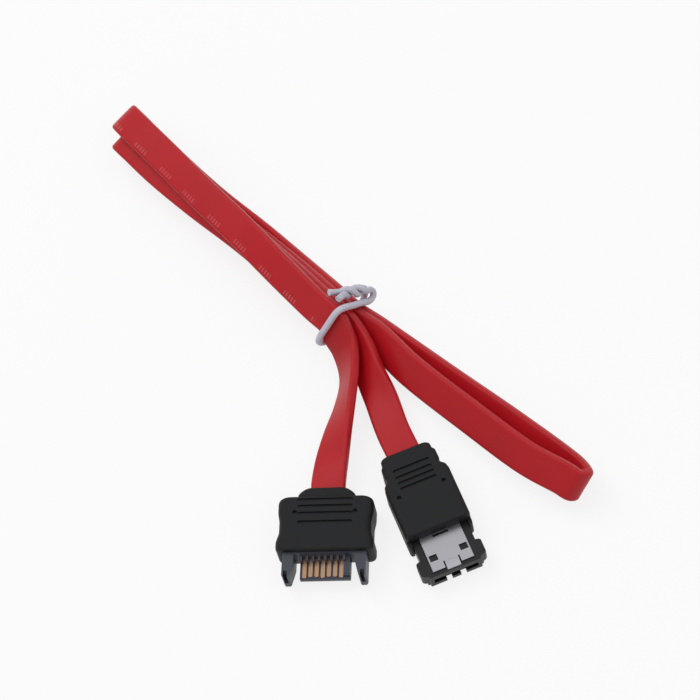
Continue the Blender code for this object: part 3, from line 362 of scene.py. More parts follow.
def jacket_material():
    """Red jacket: draw lines along the cable, a slow tone, and plain ticks where print would be."""
    colours = bpy.context.scene.part_colours
    made, nodes, shader, where, grain, marks = new_material("cable_jacket_red", 0.34)
    along, across, through = (
        nodes.add("ShaderNodeAttribute", attribute_name=f"cable_{way}").outputs["Fac"]
        for way in ("along", "across", "through"))
    nodes.put(where, grain.inputs["Vector"])
    grain.inputs["Fine Scale"].default_value = 5200.0
    grain.inputs["Broad Scale"].default_value = 120.0
    drawn_at = nodes.add("ShaderNodeCombineXYZ", {
        "X": nodes.product(across, 2600.0), "Y": nodes.product(along, 22.0),
        "Z": nodes.product(through, 2600.0)})
    lines = nodes.noise(drawn_at, 1.0, 3.0, 0.6)

    repeat = nodes.math("FRACT", nodes.math("DIVIDE", along, TICK_REPEAT))
    stroke = nodes.math("FRACT", nodes.math("DIVIDE", along, TICK_SPACING))
    off_band = nodes.math("ABSOLUTE", nodes.math("SUBTRACT", across, TICK_ACROSS))
    ticks = nodes.product(
        nodes.math("LESS_THAN", repeat, TICK_SHARE),
        nodes.math("LESS_THAN", stroke, STROKE_SHARE),
        nodes.math("LESS_THAN", off_band, TICK_HEIGHT / 2),
        nodes.math("GREATER_THAN", nodes.product(through, TICK_FACE), 0.0008),
        nodes.math("GREATER_THAN", along, TICK_RANGE[0]),
        nodes.math("LESS_THAN", along, TICK_RANGE[1]),
        nodes.spread(lines, 0.1, 0.8))

    light = tinted(colours.jacket, 1.12)
    varied = nodes.mix_colour(grain.outputs["Tone"], tinted(colours.jacket, 0.86), light)
    drawn = nodes.mix_colour(nodes.product(lines, 0.16), varied, light)
    nodes.put(nodes.mix_colour(ticks, drawn, (*colours.print_marks, 1.0)), shader["Base Color"])
    rough = nodes.spread(grain.outputs["Tone"], 0.36, 0.48)
    nodes.put(nodes.math("ADD", rough, nodes.product(marks, 0.06)), shader["Roughness"])
    height = nodes.math(
        "ADD", nodes.product(lines, 0.8), nodes.product(grain.outputs["Height"], 0.25))
    nodes.put(nodes.add("ShaderNodeBump", {
        "Height": height, "Strength": 0.12, "Distance": 0.00004}), shader["Normal"])
    for label, value in (("Weight", 0.06), ("Radius", (0.9, 0.25, 0.2)), ("Scale", 0.0008)):
        shader[f"Subsurface {label}"].default_value = value
    return made


def black_rubber(name, turn):
    return moulded_material(
        name, bpy.context.scene.part_colours.overmould, 0.56, fine=4200.0, bump=0.35,
        height=0.00005, tone=0.16, pits=0.8, turn=-turn, worn=0.25, specular=0.22)


def hard_plastic(name, base, rough, turn):
    return moulded_material(
        name, base, rough, fine=6500.0, bump=0.12, tone=0.12, pits=0.3, turn=-turn, worn=0.3,
        specular=0.28)


# Mesh helpers: points in millimetres


def looks_collection():
    found = bpy.data.collections.get("cable_looks")
    if not found:
        found = bpy.data.collections.new("cable_looks")
        bpy.context.scene.collection.children.link(found)
    return found


def new_object(name, data):
    item = bpy.data.objects.new(name, data)
    looks_collection().objects.link(item)
    return item


def mesh_piece(name, form):
    """A new object from a bmesh, which is freed."""
    mesh = bpy.data.meshes.new(name)
    form.to_mesh(mesh)
    form.free()
    return new_object(name, mesh)


def settled(item):
    """Applies every modifier by replacing the mesh with the evaluated one."""
    bpy.context.view_layer.update()
    graph = bpy.context.evaluated_depsgraph_get()
    mesh = bpy.data.meshes.new_from_object(item.evaluated_get(graph))
    old, name = item.data, item.data.name
    item.modifiers.clear()
    item.data = mesh
    if old.users == 0:
        bpy.data.meshes.remove(old)
    mesh.name = name
    return item


def ring_of(form, points):
    return [form.verts.new([v * MM for v in point]) for point in points]


def bridge(form, first, second):
    for i in range(len(first)):
        j = (i + 1) % len(first)
        form.faces.new((first[i], first[j], second[j], second[i]))


def drawn_out(name, *ends):
    """A closed form between two outlines of the same number of points."""
    form = bmesh.new()
    low, high = (ring_of(form, end) for end in ends)
    form.faces.new(low[::-1])
    form.faces.new(high)
    bridge(form, low, high)
    bmesh.ops.recalc_face_normals(form, faces=form.faces)
    return mesh_piece(name, form)


def prism(points, z, name="prism"):
    """A flat outline of (x, y) points between two heights."""
    return drawn_out(name, *([(x, y, level) for x, y in points] for level in z))


def side_prism(points, x):
    """A flat outline of (y, z) points between two x places."""
    return drawn_out("side_prism", *([(place, y, z) for y, z in points] for place in x))


def loft(name, stations):
    """A closed skin along y; each station is (y, loop of (x, z) points)."""
    form = bmesh.new()
    rings = [ring_of(form, [(x, y, z) for x, z in loop]) for y, loop in stations]
    for first, second in zip(rings, rings[1:]):
        bridge(form, first, second)
    form.faces.new(rings[0])
    form.faces.new(rings[-1][::-1])
    bmesh.ops.recalc_face_normals(form, faces=form.faces)
    return mesh_piece(name, form)


def block(x, y, z, name="block"):
    form = bmesh.new()
    ends = [[v * MM for v in sorted(side)] for side in (x, y, z)]
    size = [high - low for low, high in ends]
    middle = [(low + high) / 2 for low, high in ends]
    bmesh.ops.create_cube(
        form, size=1.0, matrix=Matrix.Translation(middle) @ Matrix.Diagonal((*size, 1.0)))
    return mesh_piece(name, form)


def mirrored(points, side):
    """The outline of (x, y) points of the right side, or of the left side."""
    return [(side * x, y) for x, y in points][::side]


def join_shapes(item, others, operation="DIFFERENCE"):
    """Cuts or joins helper shapes, which are then removed."""
    for other in others:
        step = item.modifiers.new(other.name, "BOOLEAN")
        step.operation = operation
        step.object = other
        step.solver = "EXACT"
    settled(item)
    for other in others:
        mesh = other.data
        bpy.data.objects.remove(other)
        bpy.data.meshes.remove(mesh)


def break_edges(item, width, segments=2):
    """Rounds the edges that turn by more than 40 degrees; the width is in metres."""
    step = item.modifiers.new("Edge Break", "BEVEL")
    step.width = width
    step.segments = segments
    step.limit_method = "ANGLE"
    step.angle_limit = math.radians(40)
    step.use_clamp_overlap = True
    return settled(item)


def outward(item):
    """Turns a closed mesh's faces outwards after its doubles are merged."""
    form = bmesh.new()
    form.from_mesh(item.data)
    bmesh.ops.remove_doubles(form, verts=form.verts, dist=1e-7)
    bmesh.ops.recalc_face_normals(form, faces=form.faces)
    form.to_mesh(item.data)
    form.free()


def finished(item, degrees, mat, nodes, flat_from=None, place=None, turn=0.0):
    """Closes, shades and places a piece, gives it its finish and body, and hides the CAD nodes it
    stands for.
    Shading is smooth up to an angle; faces of at least flat_from stay flat."""
    outward(item)
    mesh = item.data
    mesh.set_sharp_from_angle(angle=math.radians(degrees))
    mesh.polygons.foreach_set(
        "use_smooth", [flat_from is None or face.area < flat_from for face in mesh.polygons])
    if place:
        mesh.transform(Matrix.Translation(place * MM) @ Matrix.Rotation(turn, 4, "Z"))
        mesh.update()
    mesh.materials.clear()
    mesh.materials.append(mat)
    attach(item, "root")
    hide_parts(*nodes)


def unit_rows(rows):
    return rows / np.linalg.norm(rows, axis=1)[:, None]


def smooth_line(points, per_span):
    """A smooth curve through rows of numbers whose first three are a place."""
    rows = np.array(points, float)
    rows = np.vstack([2 * rows[0] - rows[1], rows, 2 * rows[-1] - rows[-2]])
    knots = np.sqrt(np.linalg.norm(np.diff(rows[:, :3], axis=0), axis=1))
    found = []
    for i in range(1, len(rows) - 2):
        t0, t1 = 0.0, knots[i - 1]
        t2 = t1 + knots[i]
        t3 = t2 + knots[i + 1]
        for k in range(per_span):
            t = t1 + (t2 - t1) * k / per_span
            a = ((t1 - t) * rows[i - 1] + (t - t0) * rows[i]) / (t1 - t0)
            b = ((t2 - t) * rows[i] + (t - t1) * rows[i + 1]) / (t2 - t1)
            c = ((t3 - t) * rows[i + 1] + (t - t2) * rows[i + 2]) / (t3 - t2)
            d = ((t2 - t) * a + (t - t0) * b) / (t2 - t0)
            e = ((t3 - t) * b + (t - t1) * c) / (t3 - t1)
            found.append(((t2 - t) * d + (t - t1) * e) / (t2 - t1))
    return np.array(found + [rows[-2]])


# Geometry node trees


@kept("band_along_path")
def band_tree(name):
    """A flat band with rounded edges along a path whose points say which way is across."""
    tree, nodes, given, out = node_group(
        name, "GeometryNodeTree",
        [("Geometry", "Geometry", None), ("Width", "Float", 0.0072), ("Thickness", "Float", 0.002),
         ("Corner", "Float", 0.0005), ("Crown", "Float", 0.0), ("Section Points", "Int", 72),
         ("Material", "Material", None)],
        [("Geometry", "Geometry")])
    across = nodes.add(
        "GeometryNodeInputNamedAttribute", {"Name": "across"}, data_type="FLOAT_VECTOR")
    turned = nodes.add("GeometryNodeSetCurveNormal", {
        "Curve": nodes.add("GeometryNodeMeshToCurve", {"Mesh": given["Geometry"]}),
        "Normal": across}, mode="FREE")
    run = nodes.add("GeometryNodeCaptureAttribute", {"Geometry": turned})
    run.capture_items.new("FLOAT", "along")
    nodes.put(nodes.add("GeometryNodeSplineParameter").outputs["Length"], run.inputs["along"])

    ring = nodes.add(
        "GeometryNodeCurvePrimitiveCircle", {"Resolution": 96, "Radius": given["Corner"]})
    spot = nodes.add(
        "ShaderNodeSeparateXYZ", {"Vector": nodes.add("GeometryNodeInputPosition")}).outputs
    halves = {size: nodes.math("DIVIDE", given[size], 2.0) for size in ("Width", "Thickness")}
    shifts = {
        axis: nodes.product(
            nodes.math("SIGN", spot[axis]), nodes.math("SUBTRACT", halves[size], given["Corner"]))
        for axis, size in (("X", "Width"), ("Y", "Thickness"))}
    oblong = nodes.add("GeometryNodeSetPosition", {
        "Geometry": ring, "Offset": nodes.add("ShaderNodeCombineXYZ", shifts)})
    even = nodes.add(
        "GeometryNodeResampleCurve", {"Curve": oblong, "Count": given["Section Points"]})
    side = nodes.math("DIVIDE", spot["X"], halves["Width"])
    fall = nodes.math("SUBTRACT", 1.0, nodes.product(side, side))
    level = nodes.math("DIVIDE", spot["Y"], halves["Thickness"])
    rise = nodes.product(fall, level, given["Crown"])
    crowned = nodes.add("GeometryNodeSetPosition", {
        "Geometry": even, "Offset": nodes.add("ShaderNodeCombineXYZ", {"Y": rise})})
    section = nodes.add("GeometryNodeCaptureAttribute", {"Geometry": crowned})
    for label, axis in (("across", "X"), ("through", "Y")):
        section.capture_items.new("FLOAT", label)
        nodes.put(spot[axis], section.inputs[label])

    stored = nodes.add("GeometryNodeCurveToMesh", {
        "Curve": run, "Profile Curve": section, "Fill Caps": True})
    for source, label in ((run, "along"), (section, "across"), (section, "through")):
        stored = nodes.add(
            "GeometryNodeStoreNamedAttribute",
            {"Geometry": stored, "Name": f"cable_{label}", "Value": source.outputs[label]},
            data_type="FLOAT", domain="POINT")
    whole = nodes.add("GeometryNodeRealizeInstances", {"Geometry": stored})
    nodes.put(nodes.add("GeometryNodeSetMaterial", {
        "Geometry": whole, "Material": given["Material"]}), out["Geometry"])
    return tree


@kept("row_of_copies")
def row_tree(name):
    """Copies of a shape in a row, every third one longer, as on a row of contacts."""
    tree, nodes, given, out = node_group(
        name, "GeometryNodeTree",
        [("Geometry", "Geometry", None), ("Count", "Int", 7), ("First", "Vector", None),
         ("Step", "Vector", None), ("Longer", "Float", 0.0), ("Material", "Material", None)],
        [("Geometry", "Geometry")])
    line = nodes.add("GeometryNodeMeshLine", {
        "Count": given["Count"], "Start Location": given["First"], "Offset": given["Step"]})
    third = nodes.math(
        "LESS_THAN", nodes.math("MODULO", nodes.add("GeometryNodeInputIndex"), 3.0), 0.5)
    reach = nodes.math("ADD", 1.0, nodes.product(third, given["Longer"]))
    copies = nodes.add("GeometryNodeInstanceOnPoints", {
        "Points": line, "Instance": given["Geometry"],
        "Scale": nodes.add("ShaderNodeCombineXYZ", {"X": 1.0, "Y": reach, "Z": 1.0})})
    whole = nodes.add("GeometryNodeRealizeInstances", {"Geometry": copies})
    nodes.put(nodes.add("GeometryNodeSetMaterial", {
        "Geometry": whole, "Material": given["Material"]}), out["Geometry"])
    return tree


def through_tree(item, tree, values):
    """Runs a tree on an object with its inputs set, and keeps the plain mesh."""
    step = item.modifiers.new(tree.name, "NODES")
    step.node_group = tree
    for socket in tree.interface.items_tree:
        if socket.item_type == "SOCKET" and socket.in_out == "INPUT" and socket.name in values:
            step[socket.identifier] = values[socket.name]
    return settled(item)


def path_object(name, places, across):
    mesh = bpy.data.meshes.new(name)
    mesh.from_pydata(places.tolist(), [(i, i + 1) for i in range(len(places) - 1)], [])
    attribute = mesh.attributes.new("across", "FLOAT_VECTOR", "POINT")
    attribute.data.foreach_set("vector", np.asarray(across, np.float32).ravel())
    return new_object(name, mesh)


# Cable and tie


def square_to(places, across):
    """Directions along a path, and across directions made square to it."""
    along = unit_rows(np.gradient(places, axis=0))
    across = across - (across * along).sum(axis=1)[:, None] * along
    return along, unit_rows(across)


def cable_path(per_span):
    """The route with its two ends, which run straight into the plugs."""
    ends = []
    for place, turn, run in (
        (SIGNAL_PLACE, SIGNAL_TURN, (-CABLE_IN_PLUG, 0.0)),
        (METAL_PLACE, METAL_TURN, (0.0, -CABLE_IN_PLUG)),
    ):
        turned = Matrix.Rotation(turn, 3, "Z")
        across = turned @ Vector((1.0, 0.0, 0.0))
        ends.append([(*(place + turned @ Vector((0.0, y, CABLE_LEVEL))), *across) for y in run])
    rows = smooth_line(ends[0] + list(ROUTE) + ends[1], per_span)
    places = rows[:, :3] * MM
    return places, square_to(places, rows[:, 3:6])[1]


def tie_path():
    """Points of the tie and the directions across it."""

    def place(point):
        return TIE_CENTRE + TIE_ALONG * point[0] + TIE_THROUGH * point[1] + TIE_ACROSS * point[2]

    right, left = place(TIE_COIL_RIGHT), place(TIE_COIL_LEFT)
    axis = (left - right).normalized()
    up = (TIE_ACROSS - axis * TIE_ACROSS.dot(axis)).normalized()
    out = axis.cross(up)

    def coil(start):
        rows = []
        for k in range(TIE_COIL_STEPS + 1):
            turned = start + 2 * math.pi * k / TIE_COIL_STEPS
            ring = up * math.cos(turned) + out * math.sin(turned)
            rows.append((*(right.lerp(left, k / TIE_COIL_STEPS) + ring * TIE_COIL_RADIUS), *ring))
        return rows

    first, second = coil(TIE_COIL_START), coil(TIE_COIL_START - math.pi)
    ring = []
    for point in TIE_RING:
        away = TIE_THROUGH * point[1] + TIE_ACROSS * point[2]
        ring.append((*place(point), *away.normalized()))
    thin, thick = ((*place(tail), *TIE_ACROSS) for tail in (TIE_TAIL_THIN, TIE_TAIL_THICK))
    rows = smooth_line([thin] + first[::-2] + ring + second[::2] + [thick], 5)
    places = rows[:, :3] * MM
    along, away = square_to(places, rows[:, 3:6])
    return places, np.cross(along, away)


class Step:
    """Runs build() as one step of the panel."""

    def execute(self, context):
        self.build(context.scene)
        return {"FINISHED"}


class FLATCABLE_OT_ribbon(Step, bpy.types.Operator):
    """Builds the flat cable along its folded route"""

    bl_idname = "flatcable.ribbon"
    bl_label = "Flat Cable"

    def build(self, scene):
        sizes = scene.cable_sizes
        places, across = cable_path(sizes.stations)
        item = path_object("ribbon_cable", places, across)
        mat = jacket_material()
        through_tree(item, band_tree(), {
            "Width": sizes.width, "Thickness": sizes.thickness, "Corner": sizes.corner,
            "Crown": sizes.crown, "Section Points": 72, "Material": mat})
        finished(item, 50, mat, ["flat_cable"])


class FLATCABLE_OT_tie(Step, bpy.types.Operator):
    """Builds the coated wire tie round the four strands"""

    bl_idname = "flatcable.tie"
    bl_label = "Twist Tie"

    def build(self, scene):
        sizes = scene.cable_sizes
        places, across = tie_path()
        item = path_object("coated_tie", places, across)
        mat = moulded_material(
            "tie_coating_white", scene.part_colours.tie, 0.45, fine=5000.0, bump=0.15, tone=0.08,
            pits=0.2, worn=0.1, more={
                "Subsurface Weight": 0.15, "Subsurface Radius": (0.8, 0.8, 0.9),
                "Subsurface Scale": 0.0004})
        through_tree(item, band_tree(), {
            "Width": sizes.tie_width, "Thickness": sizes.tie_thickness,
            "Corner": sizes.tie_thickness * 0.44, "Crown": 0.00005, "Section Points": 28,
            "Material": mat})
        finished(item, 60, mat, ["twist_tie"])


# Overmoulds


def round_section(half, low, high, top_round, bottom_round, counts):
    """A closed loop of (x, z) points of a block seen from the front, its top finely divided."""
    top_points, side_points, bottom_points, corner_points = counts
    most = min(half * 0.95, (high - low) * 0.49)
    top_round, bottom_round = min(top_round, most), min(bottom_round, most)
    floor, roof = low + bottom_round, high - top_round
    flat_low, flat_high = half - bottom_round, half - top_round
    loop = []

    def line(count, start, end):
        for k in range(count):
            t = k / (count - 1)
            loop.append((start[0] + (end[0] - start[0]) * t, start[1] + (end[1] - start[1]) * t))

    def arc(cx, cz, radius, begin):
        for k in range(1, corner_points + 1):
            turned = math.radians(begin + 90.0 * k / (corner_points + 1))
            loop.append((cx + radius * math.cos(turned), cz + radius * math.sin(turned)))

    line(bottom_points, (-flat_low, low), (flat_low, low))
    arc(flat_low, floor, bottom_round, -90.0)
    line(side_points, (half, floor), (half, roof))
    arc(flat_high, roof, top_round, 0.0)
    line(top_points, (flat_high, high), (-flat_high, high))
    arc(-flat_high, roof, top_round, 90.0)
    line(side_points, (-half, roof), (-half, floor))
    arc(-flat_low, floor, bottom_round, 180.0)
    return loop


def eased(value, points):
    """Smooth steps between control points (place, size), places rising."""
    if value <= points[0][0]:
        return points[0][1]
    for (a, first), (b, second) in zip(points, points[1:]):
        if value <= b:
            t = (value - a) / (b - a)
            return first + (second - first) * t * t * (3 - 2 * t)
    return points[-1][1]


def end_inset(distance, radius):
    """How far a rounded end has drawn in, at a distance from that end."""
    if distance >= radius:
        return 0.0
    return radius - math.sqrt(max(0.0, radius * radius - (radius - distance) ** 2))


def fade(value, inner, outer):
    """1 up to inner, 0 from outer on."""
    t = min(1.0, max(0.0, (outer - value) / (outer - inner)))
    return t * t * (3 - 2 * t)


def sunk_top(item, level, grooves, half_length, depth, dimples):
    """Presses grip grooves and round dimples into the top face."""
    for vert in item.data.vertices:
        x, y, z = vert.co / MM
        if z < level - 1.2:
            continue
        length_share = fade(abs(x), half_length - 0.3, half_length + 0.1)
        deepest = max(fade(abs(y - centre), 0.16, 0.32) for centre in grooves) * length_share
        for px, py in dimples:
            deepest = max(deepest, fade(math.hypot(x - px, y - py), 0.22, 0.52) * 1.6)
        vert.co.z -= deepest * depth


def dense_places(begin, end, grooves, more):
    """Places from begin down to end, closer together near the grooves, with more of them."""
    count = max(2, round((begin - end) / 0.22))
    places = [begin + (end - begin) * k / count for k in range(count + 1)]
    near = [centre + 0.08 * k for centre in grooves for k in range(-5, 6)]
    places += [place for place in near if end < place < begin]
    places = sorted(set(round(place * MM, 7) for place in places), reverse=True)
    spaced = places[:1]
    for place in places[1:]:
        if spaced[-1] - place > 0.00003:
            spaced.append(place)
    spaced = [place / MM for place in spaced[:-1]] + [end]
    return sorted(set(spaced + more), reverse=True)


def cable_hole():
    return block((-3.65, 3.65), (-5.0, 1.0), (CABLE_LEVEL - 1.05, CABLE_LEVEL + 1.05))


class FLATCABLE_OT_signal_body(Step, bpy.types.Operator):
    """Builds the overmould of the signal plug with its neck, grooves and dimples"""

    bl_idname = "flatcable.signal_body"
    bl_label = "Signal Plug Overmould"

    def build(self, scene):
        sizes = scene.plug_sizes
        top = sizes.height / MM
        counts = (121, 7, 25, 7)
        stations = []
        for k in range(13):
            back = SIGNAL_NECK * k / 12
            draw = end_inset(back, 0.8)
            half = eased(back, ((0.0, 4.7), (SIGNAL_NECK * 0.7, 6.0))) - draw
            stations.append((-back, round_section(half, 0.8 + draw, 6.8 - draw, 1.4, 0.9, counts)))
        rear = -SIGNAL_NECK
        front = rear - SIGNAL_BODY
        grooves = [rear - back for back in SIGNAL_GROOVES]
        dimple_y = rear - SIGNAL_DIMPLES
        for y in dense_places(rear, front, grooves, [rear - 0.04 * k for k in range(1, 20)]
                              + [front + 0.04 * k for k in range(1, 16)]
                              + [dimple_y + 0.1 * k for k in range(-6, 7)]):
            draw = max(end_inset(rear - y, 0.9), end_inset(y - front, 0.6))
            half = eased(rear - y, SIGNAL_WIDTHS)
            half -= max(end_inset(rear - y, 1.4), end_inset(y - front, 1.1))
            stations.append((y - (0.01 if y == rear else 0.0), round_section(
                half, draw, top - draw * 0.8, 1.7, 0.9, counts)))
        item = loft("signal_plug_body", stations)
        sunk_top(item, top, grooves, 5.7, sizes.groove_depth, [(-6.25, dimple_y), (6.25, dimple_y)])
        base_rear = front + 5.2
        join_shapes(item, [
            cable_hole(),
            block((-5.7, 5.7), (base_rear - 1.0, -3.95), (1.15, 6.25)),
            block((-8.7, 8.7), (front - 1.0, base_rear + 0.05), (1.15, 6.25)),
        ])
        mat = black_rubber("signal_overmould_black", SIGNAL_TURN)
        finished(item, 42, mat, [f"{SIGNAL}_overmould"], None,
                 SIGNAL_PLACE, SIGNAL_TURN)


class FLATCABLE_OT_metal_body(Step, bpy.types.Operator):
    """Builds the overmould of the metal topped plug with its scalloped grip"""

    bl_idname = "flatcable.metal_body"
    bl_label = "Metal Topped Plug Overmould"

    def build(self, scene):
        sizes = scene.plug_sizes
        top = sizes.height / MM
        front = METAL_FRONT
        grooves = [-back for back in METAL_GROOVES]
        dimple_y = -METAL_DIMPLES
        stations = []
        for y in dense_places(0.0, front, grooves, [-0.05 * k for k in range(1, 24)]
                              + [front + 0.04 * k for k in range(1, 14)]
                              + [dimple_y + 0.1 * k for k in range(-6, 7)]):
            draw = max(end_inset(-y, 1.1), end_inset(y - front, 0.5))
            stations.append((y, round_section(
                eased(-y, METAL_WIDTHS) - draw * 0.7, draw, top - draw, 1.1, 0.9, (97, 7, 21, 7))))
        item = loft("metal_plug_body", stations)
        sunk_top(item, top, grooves, 4.0, sizes.groove_depth, [(-4.95, dimple_y), (4.95, dimple_y)])
        cheek = [
            (6.1, front + 1.0), (6.1, front - 1.1), (6.6, front - 1.1), (6.9, front - 0.9),
            (7.05, front - 0.5), (7.05, front + 1.0),
        ]
        join_shapes(item, [
            break_edges(prism(mirrored(cheek, side), (0.15, 4.9), "cheek"), 0.0002, 3)
            for side in (-1, 1)], "UNION")
        join_shapes(item, [
            cable_hole(),
            block((-5.25, 5.25), (FRAME_REAR - 1.0, -3.95), (0.7, 5.3)),
            block((-6.1, 6.1), (front - 2.0, FRAME_REAR + 0.05), (0.35, 4.8)),
        ])
        mat = black_rubber("metal_plug_overmould_black", METAL_TURN)
        finished(item, 42, mat, [f"{METAL}_overmould"], None,
                 METAL_PLACE, METAL_TURN)


# Hard plastic, sheet metal and contacts


class FLATCABLE_OT_signal_insulator(Step, bpy.types.Operator):
    """Builds the slate insulator with its guide arms, keyed tongue and comb"""

    bl_idname = "flatcable.signal_insulator"
    bl_label = "Signal Plug Insulator"

    def build(self, scene):
        sizes = scene.plug_sizes
        pitch, half_contact = sizes.contact_pitch / MM, sizes.contact_width / MM / 2
        face, root = SIGNAL_FACE, SIGNAL_FACE + 1.0
        low, high, half = 1.2, 6.2, 8.65
        item = block((-half, half), (face, SIGNAL_BASE), (low, high), "signal_plug_insulator")
        tip = face - 4.6
        tongue = side_prism(
            [(root, 2.1), (tip + 0.3, 2.1), (tip, 2.4), (tip, TONGUE_TOP - 0.3),
             (tip + 0.25, TONGUE_TOP), (root, TONGUE_TOP)], (-5.2, 5.2))
        key = side_prism(
            [(root, 2.8), (tip + 0.5, 2.8), (tip + 0.5, 4.5), (tip + 0.8, 4.8), (root, 4.8)],
            (3.9, 5.2))
        comb = side_prism(
            [(root, 2.8), (face - 1.2, 2.8), (face - 1.2, 5.2), (face - 0.9, 5.5), (root, 5.5)],
            (CONTACT_SHIFT - 4.76, CONTACT_SHIFT + 4.76))
        reach = 5.1
        arm = [
            (half, root), (half, face - reach + 0.4), (half - 0.3, face - reach),
            (half - 1.3, face - reach), (half - 1.5, face - reach + 0.2),
            (half - 2.0, face - reach * 0.6), (half - 2.3, face - reach * 0.35), (half - 2.3, root),
        ]
        arms = [prism(mirrored(arm, side), (low, high)) for side in (-1, 1)]
        join_shapes(item, [tongue, key, comb] + arms, "UNION")
        cuts = [
            block((side * (half - 0.35), side * (half - 1.15)), (face - 6.1, face - 3.7),
                  (low + 1.6, high + 1.0))
            for side in (-1, 1)]
        for index in range(7):
            x = (index - 3) * pitch + CONTACT_SHIFT
            bed = half_contact + 0.05
            cuts.append(block((x - bed, x + bed), (face - 2.2, SIGNAL_BASE + 1.0),
                              (TONGUE_TOP, TONGUE_TOP + 0.35)))
            cuts.append(block(
                (x - 0.4, x + 0.4), (face - 2.2, face - 0.1), (TONGUE_TOP, TONGUE_TOP + 2.9)))
        join_shapes(item, cuts)
        break_edges(item, sizes.edge)
        mat = hard_plastic("insulator_slate", scene.part_colours.insulator, 0.42, SIGNAL_TURN)
        finished(item, 32, mat, [f"{SIGNAL}_insulator"], SMALLEST_FLAT_FACE,
                 SIGNAL_PLACE, SIGNAL_TURN)


class FLATCABLE_OT_metal_frame(Step, bpy.types.Operator):
    """Builds the black frame with its slot, ears and notches"""

    bl_idname = "flatcable.metal_frame"
    bl_label = "Metal Topped Plug Frame"

    def build(self, scene):
        sizes = scene.plug_sizes
        pitch, bed = sizes.contact_pitch / MM, sizes.contact_width / MM / 2 + 0.05
        rear, nose = FRAME_REAR, METAL_NOSE
        half, ear, low, high = 6.05, 7.1, 0.4, 4.4
        right = [
            (half, rear), (half, nose + 4.4), (ear - 0.3, nose + 4.2), (ear, nose + 3.9),
            (ear, nose + 1.2), (ear - 0.4, nose + 0.8), (half - 0.3, nose + 0.5),
            (half - 0.5, nose),
        ]
        item = prism([(-x, y) for x, y in right] + right[::-1], (low, high), "metal_plug_frame")
        cuts = [block((-4.8, 4.8), (nose - 1.0, nose + 7.4), (1.5, 3.0))]
        for side in (-1, 1):
            notch = side * 1.55
            cuts.append(block((notch - 0.6, notch + 0.6), (nose - 1.0, nose + 1.0), (-1.0, 1.8)))
            cuts.append(block((side * (half + 0.1), side * (ear + 1.0)), (nose - 1.0, nose + 5.4),
                              (-1.0, low + 0.8)))
            cuts.append(block((side * 4.25, side * 4.65), (nose + 1.65, rear + 1.0), (3.5, 5.4)))
        for index in range(7):
            x = (index - 3) * pitch
            cuts.append(block((x - bed, x + bed), (nose + 6.4, rear + 1.0), (1.5, 1.85)))
        cuts.append(block((-1.675, 1.675), (nose + 0.35, nose + 2.3), (3.75, 5.4)))
        join_shapes(item, cuts)
        break_edges(item, sizes.edge)
        mat = hard_plastic("frame_black", scene.part_colours.frame, 0.40, METAL_TURN)
        finished(item, 32, mat, [f"{METAL}_insulator"], SMALLEST_FLAT_FACE,
                 METAL_PLACE, METAL_TURN)


class FLATCABLE_OT_metal_shell(Step, bpy.types.Operator):
    """Builds the plated sheet with its windows, slits and bent centre tab"""

    bl_idname = "flatcable.metal_shell"
    bl_label = "Plated Shell"

    def build(self, scene):
        sheet = scene.plug_sizes.sheet / MM
        rear, lip = METAL_FRONT + 3.4, METAL_NOSE + 0.9
        low, high = 4.45, 4.45 + sheet
        through = (low - 1.0, high + 1.0)
        half, flange, corner = 4.6, 0.9, 0.3
        outer = [(half, low - flange)]
        for k in range(7):
            turned = math.radians(15.0 * k)
            outer.append((half - corner + corner * math.cos(turned),
                          high - corner + corner * math.sin(turned)))
        inner = [(half - sheet, low), (half - sheet, low - flange)]
        left_outer, left_inner = ([(-x, z) for x, z in side] for side in (outer, inner))
        section = left_outer + outer[::-1] + inner[::-1] + left_inner
        item = loft("plated_shell", [(rear, section), (lip, section)])
        cuts = [block((-half - 1.0, half + 1.0), (lip - 1.0, lip + 0.8), (low - 2.0, low))]
        for side in (-1, 1):
            window, slit = side * 3.3, side * 1.625
            cuts.append(block((window - 0.85, window + 0.85), (lip + 2.2, lip + 3.6), through))
            cuts.append(block((slit - 0.15, slit + 0.15), (lip - 1.0, lip + 1.5), through))
        cuts.append(block((-1.6, 1.6), (lip - 1.0, lip + 1.2), through))
        cuts.append(block((-1.7, 1.7), (METAL_FRONT - 0.75, METAL_FRONT - 0.15), through))
        join_shapes(item, cuts)
        bend, tip, drop, steps = lip + 1.2, lip - 0.4, 0.6, 8
        lower = [(bend + 0.3, low)]
        for k in range(steps + 1):
            share = k / steps
            lower.append((bend + (tip - bend) * share, low - drop * share ** 1.3))
        upper = [(y, z + sheet - 0.03) for y, z in lower]
        join_shapes(item, [side_prism(lower + upper[::-1], (-1.475, 1.475))], "UNION")
        break_edges(item, 0.00005)
        mat = moulded_material(
            "shell_plated", scene.part_colours.shell, 0.32, fine=2600.0, bump=0.35, height=0.00002,
            tone=0.08, pits=0.0, turn=-METAL_TURN, metallic=1.0, stretch=(0.12, 3.0, 3.0), worn=0.1)
        finished(item, 32, mat, [f"{METAL}_shell"], SMALLEST_FLAT_FACE,
                 METAL_PLACE, METAL_TURN)


